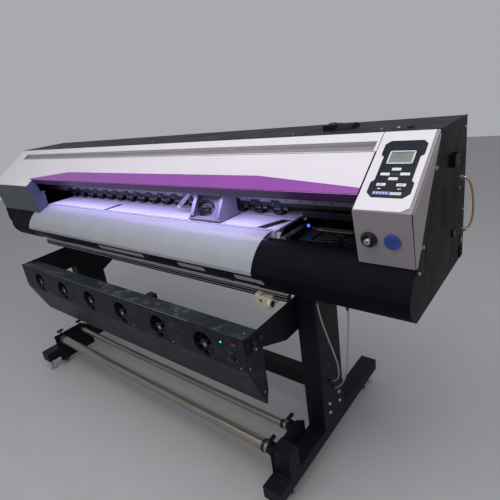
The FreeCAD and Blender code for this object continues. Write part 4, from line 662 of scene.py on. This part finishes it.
# ------------------------------------------------------------------ print bay
def media_path():
    """Platen seams, screws and holes, pinch brackets and springs, and painted shade on the flange.
    """
    top = PLATEN_TOP
    work = Mould().paint(SEAM)
    work.box((-0.967, 0.883), (-0.1450, -0.1425), (top - 0.0005, top + 0.0004))
    work.box((-0.967, 0.883), (-0.1330, -0.1290), (top - 0.0022, top + 0.0002))
    work.box((-0.967, 0.883), (0.0240, 0.0256), (top - 0.0005, top + 0.0003))
    work.box((-0.967, 0.867), (-0.1462, -0.1446), (top - 0.0008, top + 0.0003))
    work.box((-0.330, -0.300), (-0.1290, -0.0200), (top - 0.0005, top + 0.0006))
    work.paint(DARK)
    work.prism([(0.780, -0.1250, top), (0.826, -0.1250, top), (0.876, -0.012, top),
                (0.832, -0.012, top)], (0, 0, 0.0012))
    work.paint(EDGE)
    for i in range(18):
        x = -0.92 + 0.105 * i
        work.screw((x, -0.050, top), (0, 0, 1), 0.0026, 0.0006)
    work.done("platen_seams", "chassis")
    holes = Mould().paint(LABEL_PALE)
    for i in range(60):
        x = -0.94 + 0.0305 * i
        for y in (-0.105, -0.083, -0.035, -0.008):
            holes.lathe((x + 0.007 * (y > -0.05), y, top - 0.0002), (0, 0, 1),
                        [(0, 0.0020), (0.0004, 0.0020)], 8)
    holes.done("platen_vacuum_holes", "chassis")
    brackets_and_shade = Mould().paint(DARK)
    # Painted shade: a dark strip over the lower half of the main beam's flange.
    brackets_and_shade.box((-0.935, 1.240), (0.0160, 0.0178), (1.1592, 1.1740))
    for x in PINCH_X:
        brackets_and_shade.prism([(x - 0.031, 0.0176, 1.159), (x + 0.031, 0.0176, 1.159),
                    (x + 0.020, 0.0176, 1.183), (x - 0.020, 0.0176, 1.183)], (0, -0.004, 0))
        brackets_and_shade.box((x - 0.031, x + 0.031), (0.0136, 0.030), (1.1555, 1.1590))
        brackets_and_shade.box((x + 0.040, x + 0.068), (0.0150, 0.028), (1.1400, 1.1585))
    brackets_and_shade.paint(EDGE)
    for x in PINCH_X:
        brackets_and_shade.screw((x - 0.010, 0.0136, 1.168), (0, -1, 0), 0.0030)
        brackets_and_shade.box((x + 0.044, x + 0.062), (0.0140, 0.0152), (1.1480, 1.1500))
    brackets_and_shade.paint(SEAM)
    for i in range(34):
        brackets_and_shade.screw((-1.26 + 0.070 * i, 0.0180, 1.1845), (0, -1, 0), 0.0036)
    brackets_and_shade.done("pinch_brackets_and_flange_shade", "chassis", bevel=0.0006)
    springs = Mould().paint(DARK)
    for x in PINCH_X:
        springs.box((x - 0.018, x + 0.018), (0.0296, 0.0330), (1.134, 1.150))
        springs.paint(GLINT)
        turns = [(x - 0.020 + 0.040 * t / 36, 0.0440 + 0.0042 * math.cos(t), 1.1565
                  + 0.0042 * math.sin(t)) for t in range(37)]
        springs.tube(turns, 0.0008, 5)
        for offset in (-0.012, 0.0, 0.012):
            springs.box((x + offset - 0.0035, x + offset + 0.0035), (0.0290, 0.0298),
                        (1.1405, 1.1425))
        springs.paint(DARK)
    springs.done("pinch_springs", "pinch_arms")


def beam_details():
    """Light strip under the front flange of the main beam, and a painted glow on the front beam's
    inner faces.
    """
    strip = Mould().paint(STRIP_LIGHT)
    strip.box((-0.93, 0.90), (0.0080, 0.0170), (1.2140, 1.2155))
    strip.paint(DARK)
    strip.box((-0.935, 0.905), (0.0060, 0.0402), (1.2155, 1.2180))
    strip.done("light_strip", "chassis")
    paint_faces(frame["nodes"]["main_beam"], FLANGE_GREY_AND_BAY_LIGHT,
                lambda c, n: n.y < -0.7 and c.y < 0.0185 and c.z < 1.195)
    # Painted light: the upward inner faces of the front beam glow faintly, as if lit behind its
    # slots.
    paint_faces(frame["nodes"]["front_beam"], INSIDE_GLOW,
                lambda c, n: n.z > 0.3 and c.z < 0.935 and -0.28 < c.y < -0.10)
    paint_faces(frame["nodes"]["fasteners"], DARK, lambda c, n: c.z < 0.85)


def carriage_details():
    """Round cable port, seams, screws and the label on the carriage."""
    lean = math.atan2(0.054, 0.106)
    face = Plane(-0.0840, 1.124, 90 - math.degrees(lean))
    up = face(0, 1, 0) - face(0, 0, 0)
    outward = face(0, 0, 1) - face(0, 0, 0)
    middle = face(0.4535, 0.037, 0.0008)
    paint_faces(frame["nodes"]["carriage"], HOOD, lambda c, n: n.y < -0.3 and c.z > 1.228)
    ring = Mould().paint(PORT)

    def oval(wide, high, lift, turns):
        """Points on an ellipse round the port, 36 to a full turn."""
        angles = [t * 2 * math.pi / 36 for t in range(turns)]
        return [middle + outward * lift + Vector((wide * math.cos(a), 0, 0))
                + up * (high * math.sin(a)) for a in angles]

    ring.prism(oval(0.0450, 0.0270, 0.0005, 36), outward * 0.0015)
    ring.paint(LOOKS["carriage_shell"])
    ring.tube(oval(0.0470, 0.0280, 0.0030, 37)[18:], 0.0035, 8)
    ring.paint(DARK)
    ring.tube(oval(0.0450, 0.0260, 0.0080, 20), 0.0060, 10)
    bundle = [middle + outward * (0.010 + 0.018 * math.sin(t * math.pi / 12))
              + Vector((0.030 * math.cos(t * math.pi / 12), 0, 0))
              + up * (-0.012 + 0.010 * math.sin(t * math.pi / 6))
              for t in range(13)]
    ring.tube(bundle, 0.0080, 10)
    ring.tube([p + Vector((0.004, 0.0, -0.014)) for p in bundle], 0.0060, 10)
    ring.done("carriage_port", "carriage", slot="carriage_shell")
    trim = Mould().paint(HOOD)
    trim.box((0.392, 0.580), (-0.1135, -0.1118), (1.2320, 1.2440))
    trim.paint(SEAM)
    trim.box((0.3915, 0.5805), (-0.1128, -0.1118), (1.2300, 1.2312))
    trim.paint(EDGE)
    for x in (0.4065, 0.5655):
        for z in (1.140, 1.200):
            y = -0.130 + (z - 1.133) * 62.0 / 97.0 - 0.0012  # on the leaning gusset edge
            trim.screw((x, y, z), (0, -0.84, 0.54), 0.003)
    trim.done("carriage_trim", "carriage", bevel=0.0004)
    lines = Mould().paint(DARK)
    for offset in (-0.012, 0.0, 0.012):
        lines.tube([(0.245 + offset, -0.0580, 1.150), (0.290 + offset, -0.0570, 1.186),
                    (0.335 + offset, -0.0560, 1.216), (0.378 + offset, -0.0550, 1.240)], 0.0035, 8)
    lines.paint(CARD)
    lines.box((0.236, 0.262), (-0.0635, -0.0612), (1.142, 1.147))
    lines.done("hose_arm_lines", "carriage")


def bay_details():
    """Guide rod, capping pump with its hoses, and the blue lamp of the service bay."""
    part = Mould().paint(DARK)
    part.box((0.92, 1.26), (0.0095, 0.026), (1.122, 1.150))
    part.box((0.945, 0.9635), (-0.16, 0.0), (1.082, 1.104))
    part.paint(LOOKS["rolled_steel"])
    part.tube([(0.925, -0.168, 1.070), (1.255, -0.168, 1.070)], 0.005, 12)
    part.paint(EDGE)
    part.screw((0.955, -0.12, 1.104), (0, 0, 1), 0.004)
    part.box((0.925, 1.250), (-0.1795, -0.1780), (1.0780, 1.0800))
    part.done("service_fittings", "chassis", bevel=0.0006)
    pump = Mould().paint(DARK)
    pump.box((1.150, 1.234), (-0.100, -0.015), (1.0645, 1.0860))
    pump.box((1.160, 1.225), (-0.085, -0.030), (1.0860, 1.0890))
    for i in range(4):
        y = -0.125 + 0.028 * i
        pump.tube([(1.02 + 0.02 * i, y, 1.082), (1.06 + 0.02 * i, y - 0.01, 1.0865),
                   (1.11 + 0.01 * i, y + 0.005, 1.0865), (1.145, y + 0.008, 1.076)], 0.003, 8)
    pump.paint(EDGE)
    for x in (1.155, 1.230):
        pump.screw((x, -0.09, 1.086), (0, 0, 1), 0.004)
    pump.done("cap_pump", "cap_carrier", bevel=0.0006)
    lamp = Mould().paint(BLUE_LIGHT)
    lamp.lathe((0.985, -0.056, 1.109), (0, 0, 1),
               [(0.0, 0.0050), (0.007, 0.0048), (0.010, 0.0030)], 16)
    lamp.paint(DARK)
    lamp.box((0.952, 0.963), (-0.060, -0.038), (1.104, 1.112))
    lamp.box((0.958, 0.994), (-0.052, -0.040), (1.106, 1.109))
    lamp.done("bay_lamp", "chassis", bevel=0.0010)


# ------------------------------------------------------------------ side panels
def panel_details():
    """Access doors, vents, locks and screws on both end panels."""
    for word, side in (("left", -1), ("right", 1)):
        x = PANEL_X * side
        part = Mould().paint(SEAM)
        lift = (0.0005 * side, 0, 0)

        def stripe(points, width):
            """A dark line of the given width along points on the panel."""
            for (ya, za), (yb, zb) in zip(points, points[1:]):
                run = Vector((0, yb - ya, zb - za)).normalized()
                aside = Vector((0, -run.z, run.y)) * width / 2
                a, b = Vector((x, ya, za)), Vector((x, yb, zb))
                part.prism([a - aside, b - aside, b + aside, a + aside], lift)

        stripe([(-0.159, 0.967), (-0.159, 1.120), (-0.070, 1.258), (0.033, 1.397),
                (0.174, 1.396), (0.150, 0.951), (-0.159, 0.967)], 0.0020)
        stripe([(0.206, 1.447), (0.200, 1.165), (0.200, 0.912)], 0.0016)
        for y0, z0, rows, columns in ((0.010, 1.251, 9, 4), (0.256, 1.335, 6, 4)):
            for row in range(rows):
                for column in range(columns):
                    y = y0 + 0.0140 * column + 0.0070 * (row % 2)
                    z = z0 - 0.0150 * row
                    part.prism([(x, y, z - 0.0055), (x, y + 0.0042, z), (x, y, z + 0.0055),
                                (x, y - 0.0042, z)], lift)
        part.paint(LOOKS["screw_steel"])
        for y, z in ((-0.062, 1.340), (-0.199, 1.136), (-0.215, 1.061), (0.250, 1.200),
                     (0.310, 1.100)):
            part.screw((x, y, z), (side, 0, 0), 0.0050, 0.0022)
        part.paint(DARK)
        part.lathe((x + 0.006 * side, 0.162, 1.054), (side, 0, 0),
                   [(0.0, 0.0120), (0.0008, 0.0118), (0.0010, 0.0080)], 24)
        part.paint(EDGE)
        part.box(tuple(sorted((x + 0.0066 * side, x + 0.0074 * side))), (0.1612, 0.1628),
                 (1.049, 1.059))
        part.done(f"{word}_panel_details", "chassis")
    inlet = Mould().paint(CARD)
    for y in (0.277, 0.283, 0.289):
        inlet.box((1.4512, 1.4530), (y - 0.0008, y + 0.0008), (0.9300, 0.9380))
    inlet.done("inlet_pins", "chassis")
    mark = Mould().paint(LOOKS["key_white"])
    mark.box((1.4545, 1.4556), (0.2822, 0.2838), (0.9905, 0.9945))
    mark.box((1.4545, 1.4556), (0.2795, 0.2865), (0.9776, 0.9786))
    mark.done("mains_marks", "main_switch")
    grips = Mould().paint(LOOKS["knob_black"])
    for side in (-1, 1):
        x = tuple(sorted((1.4660 * side, 1.4668 * side)))
        for i in range(4):
            z = 1.3095 + 0.0100 * i
            grips.box(x, (0.118, 0.154), (z, z + 0.0055))
    grips.done("grip_ribs", "chassis", bevel=0.0003)


def cord_fittings():
    """Tapered reliefs at both ends of the grey leads, and clamps on the ink tube."""
    part = Mould().paint(LOOKS["knob_black"])
    for x, y in ((1.096, -0.226), (1.216, -0.226)):
        part.lathe((x, y, 0.9065), (0, 0, -1), [(0.0, 0.0085), (0.003, 0.0085), (0.004, 0.0066),
                                                (0.012, 0.0060), (0.022, 0.0036)], 20)
    for y, z in ((-0.030, 0.366), (-0.009, 0.312)):
        part.lathe((1.0102, y, z), (1, 0, 0.1), [(0.0, 0.0080), (0.003, 0.0080), (0.004, 0.0062),
                                                 (0.021, 0.0036)], 20)
    part.done("lead_reliefs", "chassis", slot="grey_cord")
    ties = Mould().paint(LOOKS["zinc"])
    ties.lathe((1.4605, 0.2556, 1.2375), (1, 0.1, -0.1), [(0.0, 0.0052), (0.0015, 0.0058),
                                                        (0.0065, 0.0058), (0.008, 0.0050)], 20)
    ties.lathe((1.4605, 0.3113, 1.0182), (1, 0.02, 0.02), [(0.0, 0.0052), (0.0015, 0.0058),
                                                          (0.0065, 0.0058), (0.008, 0.0050)], 20)
    ties.done("hose_clamps", "chassis", slot="zinc")


# ------------------------------------------------------------------ dryer and stand
def dryer_details():
    """Lamp, dial marks, painted edge highlight, painted fan shade, screws, seams and fan hubs of
    the dryer.
    """
    front = DRYER_FRONT
    part = Mould().paint(DARK)
    part.box((0.848, 0.880), (front - 0.0012, front + 0.0005), (0.7535, 0.7815))
    part.lathe((0.797, front + 0.0002, 0.765), (0, -1, 0), [(0.0, 0.0060), (0.0025, 0.0058),
                                                           (0.0028, 0.0042)], 20)
    part.lathe((0.849, front + 0.0004, 0.710), (0, -1, 0), [(0.0, 0.0215), (0.0010, 0.0210)], 28)
    part.paint(GREEN_LIGHT)
    part.lathe((0.797, front - 0.0024, 0.765), (0, -1, 0), [(0.0, 0.0042), (0.0014, 0.0034),
                                                           (0.0022, 0.0014)], 16)
    part.paint(LABEL_PALE)
    for i in range(9):
        angle = math.radians(-135 + 270 * i / 8)
        cx, cz = 0.849 + 0.0190 * math.sin(angle), 0.710 + 0.0190 * math.cos(angle)
        part.box((cx - 0.0006, cx + 0.0006), (front - 0.0009, front - 0.0005),
                 (cz - 0.0012, cz + 0.0012))
    part.done("dryer_controls_trim", "chassis")
    # Painted highlight: a thin light line along the dryer's front top edge.
    edge = Mould().paint(EDGE_HIGHLIGHT)
    edge.tube([(-0.62, front + 0.0004, 0.8056), (0.62, front + 0.0004, 0.8056)], 0.0009, 6)
    edge.done("dryer_worn_edge", "chassis")
    # Painted shade: dark discs inside the dryer behind each fan.
    shade_discs = Mould().paint(SEAM)
    for x in FAN_X:
        shade_discs.lathe((x, -0.4175, FAN_Z), (0, 1, 0), [(0.0, 0.0560), (0.0015, 0.0560)], 32)
    shade_discs.done("fan_shade_discs", "chassis")
    # The upward faces of the dryer's top ledge are made a lighter, mottled grey.
    paint_faces(frame["nodes"]["dryer_housing"], LIGHTER_TOP, lambda c, n: n.z > 0.7 and c.z > 0.77)
    # Painted shade: the lower faces of the red rocker are painted dark.
    paint_faces(frame["nodes"]["dryer_rocker"], DARK, lambda c, n: c.z < 0.7665)
    thumb = Mould().paint(DARK)
    thumb.lathe((0.911, -0.397, 0.741), (1, 0, 0), [(0.0, 0.0150), (0.002, 0.0155), (0.012, 0.0150),
                                                   (0.0135, 0.0135), (0.0138, 0.0060)], 28)
    thumb.paint(GLINT)
    thumb.lathe((0.9247, -0.397, 0.741), (1, 0, 0), [(0.0, 0.0034), (0.0012, 0.0030)], 16)
    thumb.done("dryer_thumb_nut", "chassis", bevel=0.0004)
    seams = Mould().paint(SEAM)
    for x in (-0.05, 0.46, -0.56):
        seams.box((x - 0.0008, x + 0.0008), (front - 0.0004, front + 0.0005), (0.662, 0.800))
    seams.box((-0.908, 0.908), (front - 0.0004, front + 0.0005), (0.7980, 0.7990))
    seams.done("dryer_seams", "chassis")
    heads = Mould().paint(EDGE)
    for x in (-0.88, -0.62, -0.33, -0.06, 0.22, 0.50, 0.88):
        heads.screw((x, -0.400, 0.7971), (0, -0.19, 0.98), 0.0040)
        heads.screw((x, front, 0.672), (0, -1, 0), 0.0040)
    for side in (-1, 1):
        for y, z in ((-0.43, 0.79), (-0.37, 0.78), (-0.37, 0.52), (-0.43, 0.67)):
            heads.screw((0.911 * side, y, z), (side, 0, 0), 0.0042)
    heads.done("dryer_screws", "chassis")
    for i, x in enumerate(FAN_X):
        hub = Mould().paint(LOOKS["fan_black"])
        hub.lathe((x, front + 0.0070, FAN_Z), (0, -1, 0), [(0.0, 0.0200), (0.0020, 0.0198),
                                                           (0.0032, 0.0182), (0.0034, 0.0168)], 32)
        hub.paint(SILVER_PAPER)
        hub.lathe((x + 0.004, front + 0.0034, FAN_Z - 0.004), (0, -1, 0),
                  [(0.0, 0.0075), (0.0006, 0.0073)], 20)
        hub.paint(INK)
        for row in (-0.006, -0.002):
            hub.box((x - 0.001, x + 0.009), (front + 0.0024, front + 0.0028),
                    (FAN_Z + row - 0.0008, FAN_Z + row + 0.0008))
        hub.done(f"fan_hub_{i + 1}", f"fan_impeller_{i + 1}", slot="fan_black")


def stand_details():
    """Bolts and weld beads of the stand, collars of the shafts, painted highlights on the clip
    rail.
    """
    part = Mould().paint(LOOKS["screw_steel"])
    for side in (-1, 1):
        for y in (-0.13, 0.10):
            for x in (0.905, 1.021):
                part.lathe((x * side, y, 0.9005), (0, 0, -1),
                           [(0.0, 0.0085), (0.0012, 0.0085), (0.0014, 0.0065), (0.006, 0.0065)], 6)
        for y in (-0.06, 0.03):
            for z in (0.21, 0.26):
                part.lathe((1.010 * side, y, z), (side, 0, 0),
                           [(0.0, 0.0090), (0.0015, 0.0090), (0.0017, 0.0070), (0.007, 0.0068)], 6)
    part.done("stand_bolts", "chassis", bevel=0.0004)
    beads = Mould().paint(LOOKS["black_coat"])
    for side in (-1, 1):
        for y in (-0.110, 0.080):
            points = [((0.920 + 0.004 * i) * side, y, 0.1352 + 0.0012 * math.sin(i * 2.1))
                      for i in range(21)]
            beads.tube(points, 0.0030, 8)
    beads.done("weld_beads", "chassis", slot="black_coat")
    for body, y, radius in (("takeup_shaft", -0.360, 0.025), ("tension_shaft", -0.220, 0.017)):
        sleeves = Mould().paint(DARK)
        for x in (-0.868, 0.850):
            sleeves.lathe((x, y, 0.205), (1, 0, 0),
                          [(0.0, radius + 0.0003), (0.001, radius + 0.0030),
                           (0.014, radius + 0.0030), (0.015, radius + 0.0003)], 28)
        sleeves.done(f"{body}_collars", body, slot="rolled_steel")
    # Painted highlights: thin light lines along the edges of the black clip rail.
    rails = Mould().paint(RAIL_HIGHLIGHT)
    for z in (0.8868, 0.8988):
        rails.box((-0.899, 0.989), (-0.2594, -0.2586), (z, z + 0.0014))
    rails.box((-0.899, 0.989), (-0.2560, -0.2548), (0.9052, 0.9060))
    rails.done("rail_highlight_lines", "chassis")


def clamp_details():
    """Ribs, bore and screw of the cream clip."""
    part = Mould().paint(LOOKS["cream_plastic"])
    for i in range(4):
        x = 0.868 + 0.014 * i
        part.box((x, x + 0.0035), (-0.2935, -0.2920), (0.860, 0.894))
    part.paint(SEAM)
    part.lathe((0.9379, -0.282, 0.874), (1, 0, 0), [(0.0, 0.0130), (0.0006, 0.0128)], 24)
    part.lathe((0.892, -0.2932, 0.884), (0, -1, 0), [(0.0, 0.0050), (0.0018, 0.0048)], 16)
    part.done("clamp_ribs", "rail_clamp", bevel=0.0006, slot="cream_plastic")


# ------------------------------------------------------------------ put together
add_camera()
lay_cord("ink_tube_line", INK_ROUTE, 0.008, LOOKS["amber_hose"])
lay_cord("dryer_lead", DRYER_ROUTE, 0.006, LOOKS["grey_cord"])
lay_cord("takeup_lead", TAKEUP_ROUTE, 0.006, LOOKS["grey_cord"])
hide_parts("ink_tube")
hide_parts("dryer_cable")
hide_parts("takeup_cable")
dress_cad()
cover_details()
top_fittings()
keypad()
chin_controls()
media_path()
beam_details()
carriage_details()
bay_details()
panel_details()
cord_fittings()
dryer_details()
stand_details()
clamp_details()
add_studio()
